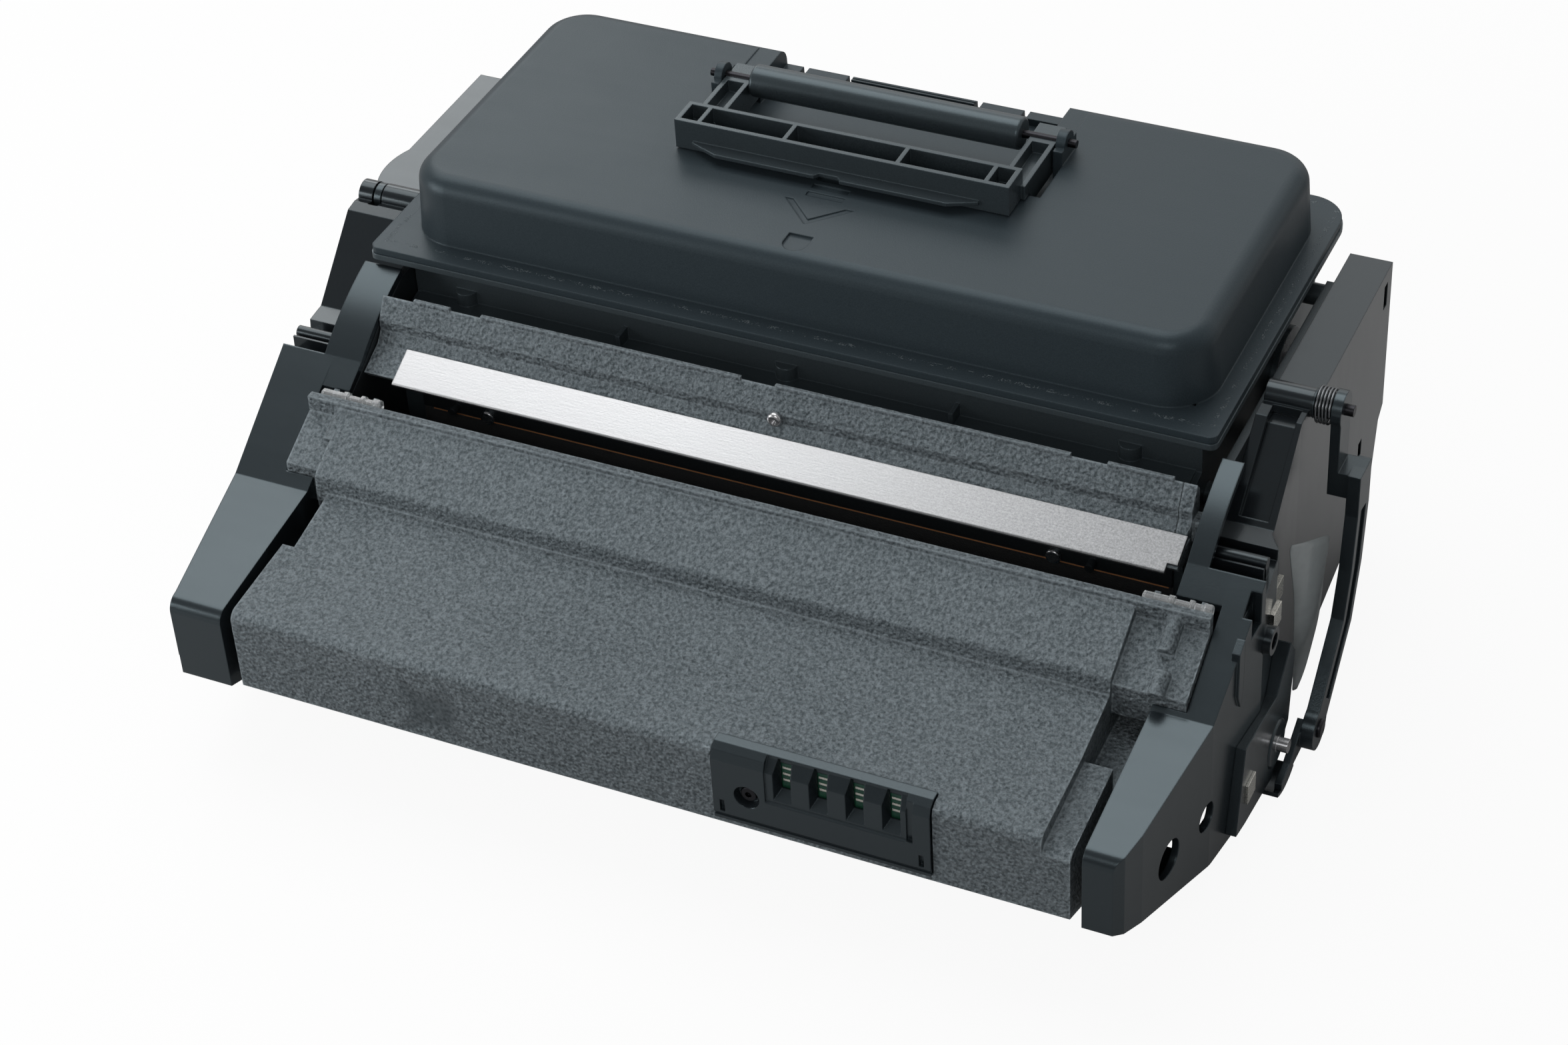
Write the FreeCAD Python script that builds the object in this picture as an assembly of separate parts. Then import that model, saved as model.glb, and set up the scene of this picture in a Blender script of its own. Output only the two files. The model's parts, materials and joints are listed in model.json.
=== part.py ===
import FreeCAD, Part
import math
import os

from FreeCAD import Vector

# Toner cartridge for a large monochrome laser printer.
# Lengths are millimetres. X runs along the cartridge, Y from the chip side to the handle side, Z up.
# While it is modelled, Y is 0 at the front face, Z is 0 at the base and X is 0 near the middle.
# The finished pieces are moved so that the origin is the middle of the footprint.

# Walls and fits
WALL = 2.5
THIN_WALL = 1.8
RUNNING_FIT = 0.05
SOFT_GAP = 0.3
SEAT_GAP = 0.3

# The rollers' length places the two side frames, and the ends of all the long pieces follow them
ROLLER_HALF = 135.0
LEFT = -ROLLER_HALF - 19.0
RIGHT = ROLLER_HALF + 19.5

# Waste housing, the grained front part
WASTE_LEFT = LEFT + 3.7
WASTE_RIGHT = RIGHT - 10
CHANNEL_RIGHT = RIGHT - 0.4
SHELF_LEFT = LEFT - 10.6
SHELF_RIGHT = RIGHT + 15.1
FRONT_BOTTOM = 34.0
FRONT_TOP = 66.0
SLOPE_MID_Y = 35.4
SLOPE_MID_Z = 69.2
RIDGE_Y = 60.5
RIDGE_FOOT_Z = 74.8
RIDGE_HEIGHT = 6.6
RIDGE_LEFT = LEFT + 3.5
RIDGE_RIGHT = RIGHT - 5.9
SHELF_DROP = 4.0
RAIL_Y = 84.0
RAIL_Z = 95.8
RAIL_THICKNESS = 3.0
BASE_LIP_Y = 96.0
FRONT_ROUND = 4.0

# Side frames
PLATE_LEFT = LEFT
PLATE_RIGHT = RIGHT
PLATE_THICKNESS = 3.0
CAP_FRONT_Y = -1.5
CAP_LEFT_INNER = LEFT
CAP_RIGHT_INNER = RIGHT + 4
CAP_NOTCH_LEFT = LEFT - 11
CAP_NOTCH_RIGHT = RIGHT + 15.5
CAP_CREASE_Y = 60.0
CAP_CREASE_Z = 73.5
CAP_BACK_Y = 104.5
CAP_BACK_Z = 99.3
STRIP_LEFT_OUTER = LEFT - 15
STRIP_RIGHT_OUTER = RIGHT + 7.5
STRIP_BACK_Y = 138.0
STRIP_BACK_Z = 117.6
STRIP_THICKNESS = 3.0
COVER_BACK_Y = 267.0
COVER_TOP_Z = 116.0
ARCH_FOOT_Y = 134.0
ARCH_TOP_Y = 162.5
ARCH_TOP_Z = 119.3
VALLEY_Z = 95.5
VALLEY_DEPTH = 4.0
VALLEY_RIB_Y = 112.4
VALLEY_RIDGE_Y = 116.3
VALLEY_BACK_Y = 125.2
FRAME_BOTTOM_Z = 6.5
LEFT_REAR_X = LEFT - 37.8
RIGHT_REAR_X = RIGHT + 18.5

# Toner hopper and lid
HOPPER_LEFT = LEFT + 0.3
HOPPER_RIGHT = RIGHT - 9.5
HOPPER_FRONT_Y = 146.0
HOPPER_NOSE_Y = 129.0
HOPPER_BACK_Y = 268.0
FILL_Y = 232.0
FILL_Z = 85.0
FILL_RADIUS = 14.0
FLANGE_LEFT = LEFT - 12.3
FLANGE_RIGHT = RIGHT - 2
FLANGE_FRONT = 137.0
FLANGE_BACK = 285.0
FLANGE_BOTTOM = 120.0
FLANGE_SEAM = 122.3
FLANGE_TOP = 125.0
FLANGE_ROUND = 14.0
HUMP_LEFT = LEFT - 3.5
HUMP_RIGHT = RIGHT - 10
HUMP_FRONT = 147.2
HUMP_BACK = 276.5
HUMP_TOP = 151.0
HUMP_ROUND = 18.0
HUMP_DRAFT = 1.8
HUMP_EDGE_ROUND = 6.5
FLANGE_STEP = 0.35

# Handle
RECESS_LEFT = -74.0
RECESS_RIGHT = 61.5
RECESS_FRONT = 213.0
RECESS_FLOOR = 140.0
NOTCH_LEFT = -63.2
NOTCH_RIGHT = 46.0
NOTCH_LEAN = 4.7
SILL_HEIGHT = 3.0
GRIP_Y = 241.0
GRIP_RISE = 16.5
CORNER_GAP = 10.0
SILL_SLOTS = (-55.3, -36.8, 14.1, 32.5)
GRIP_RADIUS = 6.0
GRIP_LEFT = -60.0
GRIP_RIGHT = 44.5
PIN_RADIUS = 1.5
ARM_LEFT = -70.5
ARM_RIGHT = 57.5
ARM_WIDTH = 10.0
ARM_DROP = 10.0
ARM_RISE = 0.5
BAR_LEFT = -71.0
BAR_RIGHT = 56.0
BAR_REACH = 30.0
BAR_DEPTH = 13.0
BAR_HEIGHT = 11.4
BAR_GAP = 0.6

# Laser slot: beam, bright plate and the doctor blade behind it
PLATE_LOW_Y = 102.0
PLATE_LOW_Z = 94.7
PLATE_HIGH_Y = 115.0
PLATE_HIGH_Z = 101.1
BRIGHT_LEFT = LEFT + 13
BRIGHT_RIGHT = RIGHT - 3.5
BRIGHT_NOTCH = RIGHT - 7
BRIGHT_THICKNESS = 1.2
BEAM_LEFT = LEFT + 0.3
BEAM_RIGHT = RIGHT - 3.5
BEAM_FRONT_Y = 119.0
BEAM_FRONT_Z = 108.1
BEAM_CREASE_Z = 104.1
BEAM_BACK_Y = 123.6
BEAM_BACK_Z = 115.8
COPPER_Z = 67.2
PLATE_SCREW_X = 1.6
PLATE_SCREW_Z = 106.0
ROD_RADIUS = 2.3
ROD_Y = 89.8
ROD_Z = 93.5
ROD_LENGTH = 23.6
ROD_LEFT_START = LEFT - 8
ROD_RIGHT_START = RIGHT - 9.7

# Rollers and gears: the drum's axis places the rest
MODULE = 1.0
DRUM_Y = 116.0
DRUM_Z = 20.0
DRUM_RADIUS = 15.0
SHAFT_RADIUS = 3.0
PIN_END_RADIUS = 2.5
PIN_END_LENGTH = 3.9
KNOB_OUTER = RIGHT + 30.1
DRUM_TEETH = 30
DEVELOPER_TEETH = 17
IDLER_TEETH = 14
SUPPLY_TEETH = 14
DRIVE_TEETH = 34
AGITATOR_TEETH = 40
AUGER_IDLER_TEETH = 24
AUGER_TEETH = 16
DEVELOPER_ANGLE = 15.0
SUPPLY_ANGLE = 20.0
DRIVE_ANGLE = 21.0
AUGER_IDLER_ANGLE = 172.0
AUGER_ANGLE = 167.0
CHARGE_ANGLE = 140.0
CHARGE_RADIUS = 6.0
SUPPLY_RADIUS = 7.0
GEAR_PLANE_RIGHT = LEFT - 4
GEAR_WIDTH = 6.5

# Drum shutter, its arms and the torsion spring
PIVOT_Y = 175.7
PIVOT_Z = 118.8
PIVOT_BOSS_RADIUS = 5.0
SHUTTER_GAP = 2.2
SHUTTER_THICKNESS = 1.4
SHUTTER_HALF = ROLLER_HALF + 15.0
SHUTTER_CLEAR = 0.7
LEVER_END_Y = 138.0
LEVER_END_Z = 11.0

LEFT_ARM_OUTER = LEFT - 30.2
LEFT_ARM_THICKNESS = 2.8
PIVOT_PIN_RADIUS = 2.0
LEVER_HUB_X = RIGHT + 26.5
LEVER_HUB_THICKNESS = 3.5
LEVER_X = RIGHT + 33.5
LEVER_THICKNESS = 4.6
ARCH_GROOVE_LEFT = RIGHT + 7
ARCH_GROOVE_RIGHT = RIGHT + 17

# Chip holder
CHIP_LEFT = 31.0
CHIP_RIGHT = 107.4
CHIP_BOTTOM = 36.8
CHIP_FRONT = -1.2
WINDOW_FIRST = 55.6
WINDOW_PITCH = 12.7
WINDOW_WIDTH = 7.4
WINDOW_COUNT = 4
CHIP_SCREW_X = 43.2
CHIP_SCREW_Z = 49.0


def prism(points, x0, x1):
    """A side-view outline of (y, z) points, swept along X."""
    corners = [Vector(x0, y, z) for y, z in points]
    return Part.Face(Part.makePolygon(corners + corners[:1])).extrude(Vector(x1 - x0, 0, 0))


def slab(points, z0, z1):
    """A plan outline of (x, y) points, raised from z0 to z1."""
    corners = [Vector(x, y, z0) for x, y in points]
    return Part.Face(Part.makePolygon(corners + corners[:1])).extrude(Vector(0, 0, z1 - z0))


def panel(points, y0, y1):
    """A front-view outline of (x, z) points, swept along Y."""
    corners = [Vector(x, y0, z) for x, z in points]
    return Part.Face(Part.makePolygon(corners + corners[:1])).extrude(Vector(0, y1 - y0, 0))


def block(x0, x1, y0, y1, z0, z1):
    return Part.makeBox(x1 - x0, y1 - y0, z1 - z0, Vector(x0, y0, z0))


def rod(y, z, radius, x0, x1):
    """A round bar along X."""
    return Part.makeCylinder(radius, x1 - x0, Vector(x0, y, z), Vector(1, 0, 0))


def post(x, y, radius, z0, z1):
    """A round bar along Z."""
    return Part.makeCylinder(radius, z1 - z0, Vector(x, y, z0), Vector(0, 0, 1))


def stud(x, z, radius, y0, y1):
    """A round bar along Y."""
    return Part.makeCylinder(radius, y1 - y0, Vector(x, y0, z), Vector(0, 1, 0))


def joined(first, *others):
    return first.fuse(list(others)).removeSplitter()


def rounded(shape, radius, chosen):
    """Rounds each edge whose middle point is chosen."""
    edges = [e for e in shape.Edges if chosen(e.CenterOfMass)]
    return shape.makeFillet(radius, edges)


def near(value, target, slack=0.05):
    return abs(value - target) < slack


def polar(y, z, distance, degrees):
    """The point at a distance and angle from (y, z), counted from +Y towards +Z."""
    angle = math.radians(degrees)
    return y + distance * math.cos(angle), z + distance * math.sin(angle)


def rounded_plan(x0, x1, y0, y1, z, front_round, back_round):
    """A wire of a rectangle whose front and back corners are rounded differently."""
    corners = ((x0, y0, front_round, 180), (x1, y0, front_round, 270),
               (x1, y1, back_round, 0), (x0, y1, back_round, 90))
    middle_x = (x0 + x1) / 2
    middle_y = (y0 + y1) / 2
    arcs = []
    for x, y, radius, start in corners:
        centre = Vector(x + math.copysign(radius, middle_x - x), y + math.copysign(radius, middle_y - y), z)
        circle = Part.Circle(centre, Vector(0, 0, 1), radius)
        arcs.append(Part.Arc(circle, math.radians(start), math.radians(start + 90)).toShape())
    edges = []
    for number, arc in enumerate(arcs):
        edges.append(arc)
        following = arcs[(number + 1) % 4]
        edges.append(Part.LineSegment(arc.Vertexes[-1].Point, following.Vertexes[0].Point).toShape())
    return Part.Wire(Part.__sortEdges__(edges))


def gear(y, z, teeth, x0, x1, turn, bore):
    """A spur gear with straight-sided teeth; turn is one tooth's angle in radians."""
    pitch_radius = MODULE * teeth / 2
    tip_radius = pitch_radius + 0.9 * MODULE
    root_radius = pitch_radius - 1.2 * MODULE
    outline = []
    for number in range(teeth):
        middle = turn + 2 * math.pi * number / teeth
        for radius, half in ((root_radius, -0.95), (tip_radius, -0.32), (tip_radius, 0.32), (root_radius, 0.95)):
            angle = middle + half * MODULE / radius
            outline.append((y + radius * math.cos(angle), z + radius * math.sin(angle)))
    return prism(outline, x0, x1).cut(rod(y, z, bore, x0 - 1, x1 + 1))


def meshing_turn(turn, teeth, next_teeth, degrees):
    """The tooth angle of a gear that meshes with another one lying in the given direction from it."""
    line = math.radians(degrees)
    lead = (line - turn) % (2 * math.pi / teeth)
    return line + math.pi + lead * teeth / next_teeth + math.pi / next_teeth


# Heights and places of the handle, from the recess that it folds over
NOTCH_SILL = RECESS_FLOOR + SILL_HEIGHT
GRIP_Z = RECESS_FLOOR + GRIP_RISE
ARM_BOTTOM = GRIP_Z - ARM_DROP
ARM_TOP = GRIP_Z + ARM_RISE
BAR_BACK = GRIP_Y - BAR_REACH
BAR_FRONT = BAR_BACK - BAR_DEPTH
BAR_BOTTOM = HUMP_TOP + BAR_GAP
BAR_TOP = BAR_BOTTOM + BAR_HEIGHT

# Axes of the rollers and gears
GEAR_PITCH = MODULE / 2
DEVELOPER_REACH = GEAR_PITCH * (DRUM_TEETH + DEVELOPER_TEETH)
DEVELOPER_RADIUS = DEVELOPER_REACH - DRUM_RADIUS - SOFT_GAP
DEVELOPER_Y, DEVELOPER_Z = polar(DRUM_Y, DRUM_Z, DEVELOPER_REACH, DEVELOPER_ANGLE)
SUPPLY_REACH = DEVELOPER_RADIUS + SUPPLY_RADIUS + SOFT_GAP
SUPPLY_Y, SUPPLY_Z = polar(DEVELOPER_Y, DEVELOPER_Z, SUPPLY_REACH, SUPPLY_ANGLE)
IDLER_REACH = GEAR_PITCH * (DEVELOPER_TEETH + IDLER_TEETH)
SUPPLY_IDLER_REACH = GEAR_PITCH * (SUPPLY_TEETH + IDLER_TEETH)
IDLER_CORNER = math.acos((IDLER_REACH ** 2 + SUPPLY_REACH ** 2 - SUPPLY_IDLER_REACH ** 2)
                         / (2 * IDLER_REACH * SUPPLY_REACH))
IDLER_ANGLE = SUPPLY_ANGLE + math.degrees(IDLER_CORNER)
IDLER_Y, IDLER_Z = polar(DEVELOPER_Y, DEVELOPER_Z, IDLER_REACH, IDLER_ANGLE)
DRIVE_Y, DRIVE_Z = polar(IDLER_Y, IDLER_Z, GEAR_PITCH * (IDLER_TEETH + DRIVE_TEETH), DRIVE_ANGLE)
AGITATOR_Y, AGITATOR_Z = polar(DRIVE_Y, DRIVE_Z, GEAR_PITCH * (DRIVE_TEETH + AGITATOR_TEETH), DRIVE_ANGLE)
AUGER_IDLER_Y, AUGER_IDLER_Z = polar(DRUM_Y, DRUM_Z, GEAR_PITCH * (DRUM_TEETH + AUGER_IDLER_TEETH),
                                     AUGER_IDLER_ANGLE)
AUGER_Y, AUGER_Z = polar(AUGER_IDLER_Y, AUGER_IDLER_Z, GEAR_PITCH * (AUGER_IDLER_TEETH + AUGER_TEETH),
                         AUGER_ANGLE)
CHARGE_Y, CHARGE_Z = polar(DRUM_Y, DRUM_Z, DRUM_RADIUS + CHARGE_RADIUS + SOFT_GAP, CHARGE_ANGLE)
IDLER_TO_SUPPLY = math.degrees(math.atan2(SUPPLY_Z - IDLER_Z, SUPPLY_Y - IDLER_Y))

# Tooth angles, each in mesh with the gear before it
DRUM_TURN = math.radians(DEVELOPER_ANGLE)
DEVELOPER_TURN = meshing_turn(DRUM_TURN, DRUM_TEETH, DEVELOPER_TEETH, DEVELOPER_ANGLE)
IDLER_TURN = meshing_turn(DEVELOPER_TURN, DEVELOPER_TEETH, IDLER_TEETH, IDLER_ANGLE)
SUPPLY_TURN = meshing_turn(IDLER_TURN, IDLER_TEETH, SUPPLY_TEETH, IDLER_TO_SUPPLY)
DRIVE_TURN = meshing_turn(IDLER_TURN, IDLER_TEETH, DRIVE_TEETH, DRIVE_ANGLE)
AGITATOR_TURN = meshing_turn(DRIVE_TURN, DRIVE_TEETH, AGITATOR_TEETH, DRIVE_ANGLE)
AUGER_IDLER_TURN = meshing_turn(DRUM_TURN, DRUM_TEETH, AUGER_IDLER_TEETH, AUGER_IDLER_ANGLE)
AUGER_TURN = meshing_turn(AUGER_IDLER_TURN, AUGER_IDLER_TEETH, AUGER_TEETH, AUGER_ANGLE)

# Planes of the gear train, outside the left bearing plate
PLATE_OUTSIDE = PLATE_LEFT - PLATE_THICKNESS
GEAR_A_RIGHT = GEAR_PLANE_RIGHT
GEAR_A_LEFT = GEAR_A_RIGHT - GEAR_WIDTH
GEAR_B_RIGHT = GEAR_A_LEFT - 1
GEAR_B_LEFT = GEAR_B_RIGHT - GEAR_WIDTH
TRAIN_LEFT = GEAR_B_LEFT - 1
RIGHT_OUTSIDE = PLATE_RIGHT + PLATE_THICKNESS


def waste_outline():
    """Side view of the waste housing, from the front bottom edge round to the base lip."""
    ridge_top = RIDGE_FOOT_Z + RIDGE_HEIGHT
    back = RAIL_Y + RAIL_THICKNESS
    return [(0, FRONT_BOTTOM), (0, FRONT_TOP), (SLOPE_MID_Y, SLOPE_MID_Z), (RIDGE_Y, RIDGE_FOOT_Z),
            (RIDGE_Y + 0.6, ridge_top), (RAIL_Y, RAIL_Z - 2), (RAIL_Y, RAIL_Z), (back, RAIL_Z),
            (back, 38), (92, 26), (BASE_LIP_Y, 22), (BASE_LIP_Y, 0), (88, 0), (62, 11)]


def waste_cavity():
    """Side view of the space that takes the waste toner."""
    return [(WALL, FRONT_BOTTOM + 2.3), (WALL, FRONT_TOP - WALL), (SLOPE_MID_Y, SLOPE_MID_Z - WALL),
            (RIDGE_Y + WALL, RIDGE_FOOT_Z - WALL), (RIDGE_Y + WALL + 0.6, RIDGE_FOOT_Z + RIDGE_HEIGHT - WALL),
            (RAIL_Y, RAIL_Z - 5.2), (RAIL_Y, 36), (89.5, 24.5), (92.5, 22), (92.5, 3), (88.5, 2.8), (62.6, 13.8)]


def front_housing():
    body = prism(waste_outline(), WASTE_LEFT, WASTE_RIGHT)
    body = rounded(body, FRONT_ROUND, lambda p: near(p.y, 0) and near(p.z, FRONT_TOP))
    body = rounded(body, 2.4, lambda p: near(p.y, RIDGE_Y + 0.6) and near(p.z, RIDGE_FOOT_Z + RIDGE_HEIGHT))
    shelves = [shelf(SHELF_LEFT, WASTE_LEFT + 1, 65.3), shelf(WASTE_RIGHT - 1, SHELF_RIGHT, 62.3)]
    trim = [block(WASTE_LEFT - 1, RIDGE_LEFT, 0, RAIL_Y, RIDGE_FOOT_Z, RAIL_Z + 1)]
    channel = prism([(0, FRONT_BOTTOM), (0, 59), (2.5, 61), (38, 65.5), (38, 56), (RIDGE_Y, 58),
                     (RAIL_Y, 58), (RAIL_Y, 4.5), (62, 11)], WASTE_RIGHT, CHANNEL_RIGHT)
    spigots = [rod(y, z, 4, WASTE_LEFT - 3.7, WASTE_LEFT + 1) for y, z in ((18, 50), (50, 36))]
    spigots += [rod(y, z, 4, CHANNEL_RIGHT - 1, CAP_RIGHT_INNER) for y, z in ((18, 46), (48, 34))]
    body = joined(body.cut(trim), channel, *shelves, *spigots)
    body = body.cut([prism(waste_cavity(), WASTE_LEFT + WALL, WASTE_RIGHT - WALL),
                     block(WASTE_LEFT + 6, WASTE_RIGHT - 6, 90, BASE_LIP_Y + 1, 8, 18),
                     block(WASTE_LEFT - 1, WASTE_LEFT + 4.7, 36, RIDGE_Y, 52, 90)])
    seat = block(CHIP_LEFT - 0.4, CHIP_RIGHT + 0.4, -1, 6.5, CHIP_BOTTOM - 0.4, FRONT_TOP + 6)
    pan = block(CHIP_LEFT - 3, CHIP_RIGHT + 3, 0.5, 9, CHIP_BOTTOM - 2.5, FRONT_TOP - 1)
    body = joined(body, pan.common(prism(waste_outline(), CHIP_LEFT - 3, CHIP_RIGHT + 3))).cut(seat)
    bosses = [ridge_boss(LEFT + 2.8, 74.5, 91.2), ridge_boss(RIGHT + 3.5, 74.5, 90.5), ridge_boss(RIGHT + 5, 61.0, 68.5)]
    body = joined(body, *bosses)
    gate = stud(-74.6, 45.4, 1.0, -1, 0.5)
    bore = 2.0 + RUNNING_FIT
    auger_hole = rod(AUGER_Y, AUGER_Z, bore, WASTE_LEFT - 1, WASTE_LEFT + WALL + 1)
    auger_socket = rod(AUGER_Y, AUGER_Z, bore, WASTE_RIGHT - WALL - 1, WASTE_RIGHT - 0.8)
    return joined(body.cut([gate, auger_hole, auger_socket]), *guide_clips())


def shelf(x0, x1, y0):
    """The lower end of the ridge, with the rail lip that runs on over it."""
    slope = (RAIL_Z - 2 - RIDGE_FOOT_Z - RIDGE_HEIGHT) / (RAIL_Y - RIDGE_Y)
    z0 = RIDGE_FOOT_Z + RIDGE_HEIGHT - SHELF_DROP + slope * (y0 - RIDGE_Y)
    back = RAIL_Y + RAIL_THICKNESS
    return prism([(y0, 66), (y0, z0), (RAIL_Y, RAIL_Z - 2 - SHELF_DROP), (RAIL_Y, RAIL_Z), (back, RAIL_Z),
                  (back, 66)], x0, x1)


def guide_clips():
    """Small brackets behind the rail that hold the clear light guides."""
    clips = []
    low = ROD_Z - ROD_RADIUS
    back = ROD_Y + ROD_RADIUS
    for x in (ROD_LEFT_START + 3, ROD_LEFT_START + 19, ROD_RIGHT_START + 3, ROD_RIGHT_START + 19):
        clips.append(block(x, x + 2, RAIL_Y + RAIL_THICKNESS - 0.5, back + 1.2, low - 1.4, low))
        clips.append(block(x, x + 2, back, back + 1.2, low - 0.5, ROD_Z + 0.6))
    return clips


def ridge_boss(x, y0, y1):
    """A round screw boss that leans with the upper slope of the housing."""
    slope = (RAIL_Z - 2 - RIDGE_FOOT_Z - RIDGE_HEIGHT) / (RAIL_Y - RIDGE_Y)
    start = Vector(x, y0, RIDGE_FOOT_Z + RIDGE_HEIGHT - SHELF_DROP + slope * (y0 - RIDGE_Y) + 1.0)
    length = (y1 - y0) * math.sqrt(1 + slope ** 2)
    boss = Part.makeCylinder(2.9, length, start, Vector(0, 1, slope))
    limit = block(x - 4, x + 4, y0 - 4, RAIL_Y + RAIL_THICKNESS, 60, RAIL_Z)
    return boss.common(limit)


def plate_outline():
    """Side view of a bearing plate, under the curved strip and along the hopper."""
    top = STRIP_BACK_Z - STRIP_THICKNESS
    return [(90.5, 58), (94.5, 90.2), (CAP_BACK_Y, 95.9), (113, 101.6), (121.5, 107.4), (131, 111.6),
            (STRIP_BACK_Y, top), (250, top), (262, 100), (262, 24), (240, 14), (185, FRAME_BOTTOM_Z),
            (99, FRAME_BOTTOM_Z), (99, 20), (93.5, 34), (90.5, 45)]


def bearing_plate(x0, shafts):
    plate = prism(plate_outline(), x0, x0 + PLATE_THICKNESS)
    bores = [rod(y, z, radius, x0 - 1, x0 + PLATE_THICKNESS + 1) for y, z, radius in shafts]
    return plate.cut(bores)


def left_bearing_plate():
    shafts = [(DRUM_Y, DRUM_Z, 6.4), (DEVELOPER_Y, DEVELOPER_Z, SHAFT_RADIUS + RUNNING_FIT),
              (SUPPLY_Y, SUPPLY_Z, SHAFT_RADIUS + RUNNING_FIT), (CHARGE_Y, CHARGE_Z, 2.5 + RUNNING_FIT),
              (AGITATOR_Y, AGITATOR_Z, SHAFT_RADIUS + RUNNING_FIT), (IDLER_Y, IDLER_Z, 2.0),
              (DRIVE_Y, DRIVE_Z, 4.0 + RUNNING_FIT)]
    return bearing_plate(PLATE_OUTSIDE, shafts)


def right_bearing_plate():
    shafts = [(DRUM_Y, DRUM_Z, SHAFT_RADIUS), (DEVELOPER_Y, DEVELOPER_Z, SHAFT_RADIUS + RUNNING_FIT),
              (SUPPLY_Y, SUPPLY_Z, SHAFT_RADIUS + RUNNING_FIT), (CHARGE_Y, CHARGE_Z, 2.5 + RUNNING_FIT)]
    return bearing_plate(PLATE_RIGHT, shafts)


def cap_outline(inset):
    """Side view of an end cap, moved in by a wall where it is the cavity."""
    return [(CAP_FRONT_Y + inset, 33.5 + inset), (CAP_FRONT_Y + inset, 65 - inset),
            (CAP_CREASE_Y + 0.3 * inset, CAP_CREASE_Z - inset), (CAP_BACK_Y - inset, CAP_BACK_Z - 1.3 * inset),
            (CAP_BACK_Y - inset, FRAME_BOTTOM_Z + inset), (84, FRAME_BOTTOM_Z + inset), (62, 11 + inset)]


def left_end_cap():
    plan = slab([(CAP_LEFT_INNER, CAP_FRONT_Y - 1), (LEFT - 20, CAP_FRONT_Y - 1), (LEFT - 20.4, 4), (LEFT - 29.5, CAP_CREASE_Y),
                 (LEFT - 32.2, CAP_BACK_Y + 1), (CAP_LEFT_INNER, CAP_BACK_Y + 1)], 0, 130)
    shell = prism(cap_outline(0), LEFT - 46, CAP_LEFT_INNER).common(plan)
    shell = rounded(shell, 5.0, lambda p: near(p.y, CAP_FRONT_Y) and near(p.z, 65))
    inner_plan = slab([(CAP_LEFT_INNER - 30, CAP_FRONT_Y), (LEFT - 17.9, CAP_FRONT_Y), (LEFT - 27, CAP_CREASE_Y),
                       (LEFT - 29.6, CAP_BACK_Y + 1), (CAP_LEFT_INNER - 3, CAP_BACK_Y + 1),
                       (CAP_LEFT_INNER - 3, CAP_FRONT_Y)][1:], 0, 130)
    cavity = prism(cap_outline(WALL), LEFT - 46, CAP_LEFT_INNER - WALL).common(inner_plan)
    notch = block(CAP_NOTCH_LEFT, CAP_LEFT_INNER + 1, CAP_CREASE_Y + 5, CAP_BACK_Y + 1, 0, 130)
    step = block(LEFT - 21, LEFT - 18.3, CAP_FRONT_Y - 1, 8, 30, 41.5)
    shell = shell.cut([cavity, notch, step.translated(Vector(-1.6, 0, 0))])
    return joined(shell, strip(STRIP_LEFT_OUTER, CAP_LEFT_INNER))


def right_end_cap():
    plan = slab([(CAP_RIGHT_INNER, CAP_FRONT_Y - 1), (RIGHT + 13.5, CAP_FRONT_Y - 1), (RIGHT + 16.9, 2), (RIGHT + 19.1, 12),
                 (RIGHT + 25.1, CAP_CREASE_Y), (RIGHT + 26.9, CAP_BACK_Y + 1), (CAP_RIGHT_INNER, CAP_BACK_Y + 1)], 0, 130)
    shell = prism(cap_outline(0), CAP_RIGHT_INNER, RIGHT + 45.5).common(plan)
    shell = rounded(shell, 5.0, lambda p: near(p.y, CAP_FRONT_Y) and near(p.z, 65))
    inner_plan = slab([(RIGHT + 11.5, CAP_FRONT_Y), (RIGHT + 14.7, 3), (RIGHT + 16.7, 12), (RIGHT + 22.7, CAP_CREASE_Y),
                       (RIGHT + 24.4, CAP_BACK_Y + 1), (CAP_RIGHT_INNER + WALL, CAP_BACK_Y + 1),
                       (CAP_RIGHT_INNER + WALL, CAP_FRONT_Y)], 0, 130)
    cavity = prism(cap_outline(WALL), CAP_RIGHT_INNER, RIGHT + 45.5).common(inner_plan)
    notch = block(CAP_RIGHT_INNER - 1, CAP_NOTCH_RIGHT, CAP_CREASE_Y + 2, CAP_BACK_Y + 1, 0, 130)
    big_hole = rod(30.5, 40.5, 7.2, RIGHT + 10.5, RIGHT + 35.5)
    small_hole = rod(57.5, 36.0, 5.4, RIGHT + 10.5, RIGHT + 35.5)
    tube_way = rod(108, 72, 5.2, RIGHT + 15.5, RIGHT + 35.5)
    corner = block(RIGHT + 23.1, RIGHT + 30.5, 92.5, CAP_BACK_Y - 3.2, 84, 97)
    corner_skin = block(RIGHT + 21.7, RIGHT + 23.1, 90.5, CAP_BACK_Y - 1, 82, 91)
    hook = prism([(79.5, 88), (84.5, 90.5), (84.5, 70), (82.0, 64), (79.5, 70)], RIGHT + 24, RIGHT + 26.9)
    shell = shell.cut([cavity, notch, big_hole, small_hole, tube_way, corner])
    return joined(shell, strip(PLATE_RIGHT, CAP_NOTCH_RIGHT + 0.01, STRIP_RIGHT_OUTER), hook, corner_skin)


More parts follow.
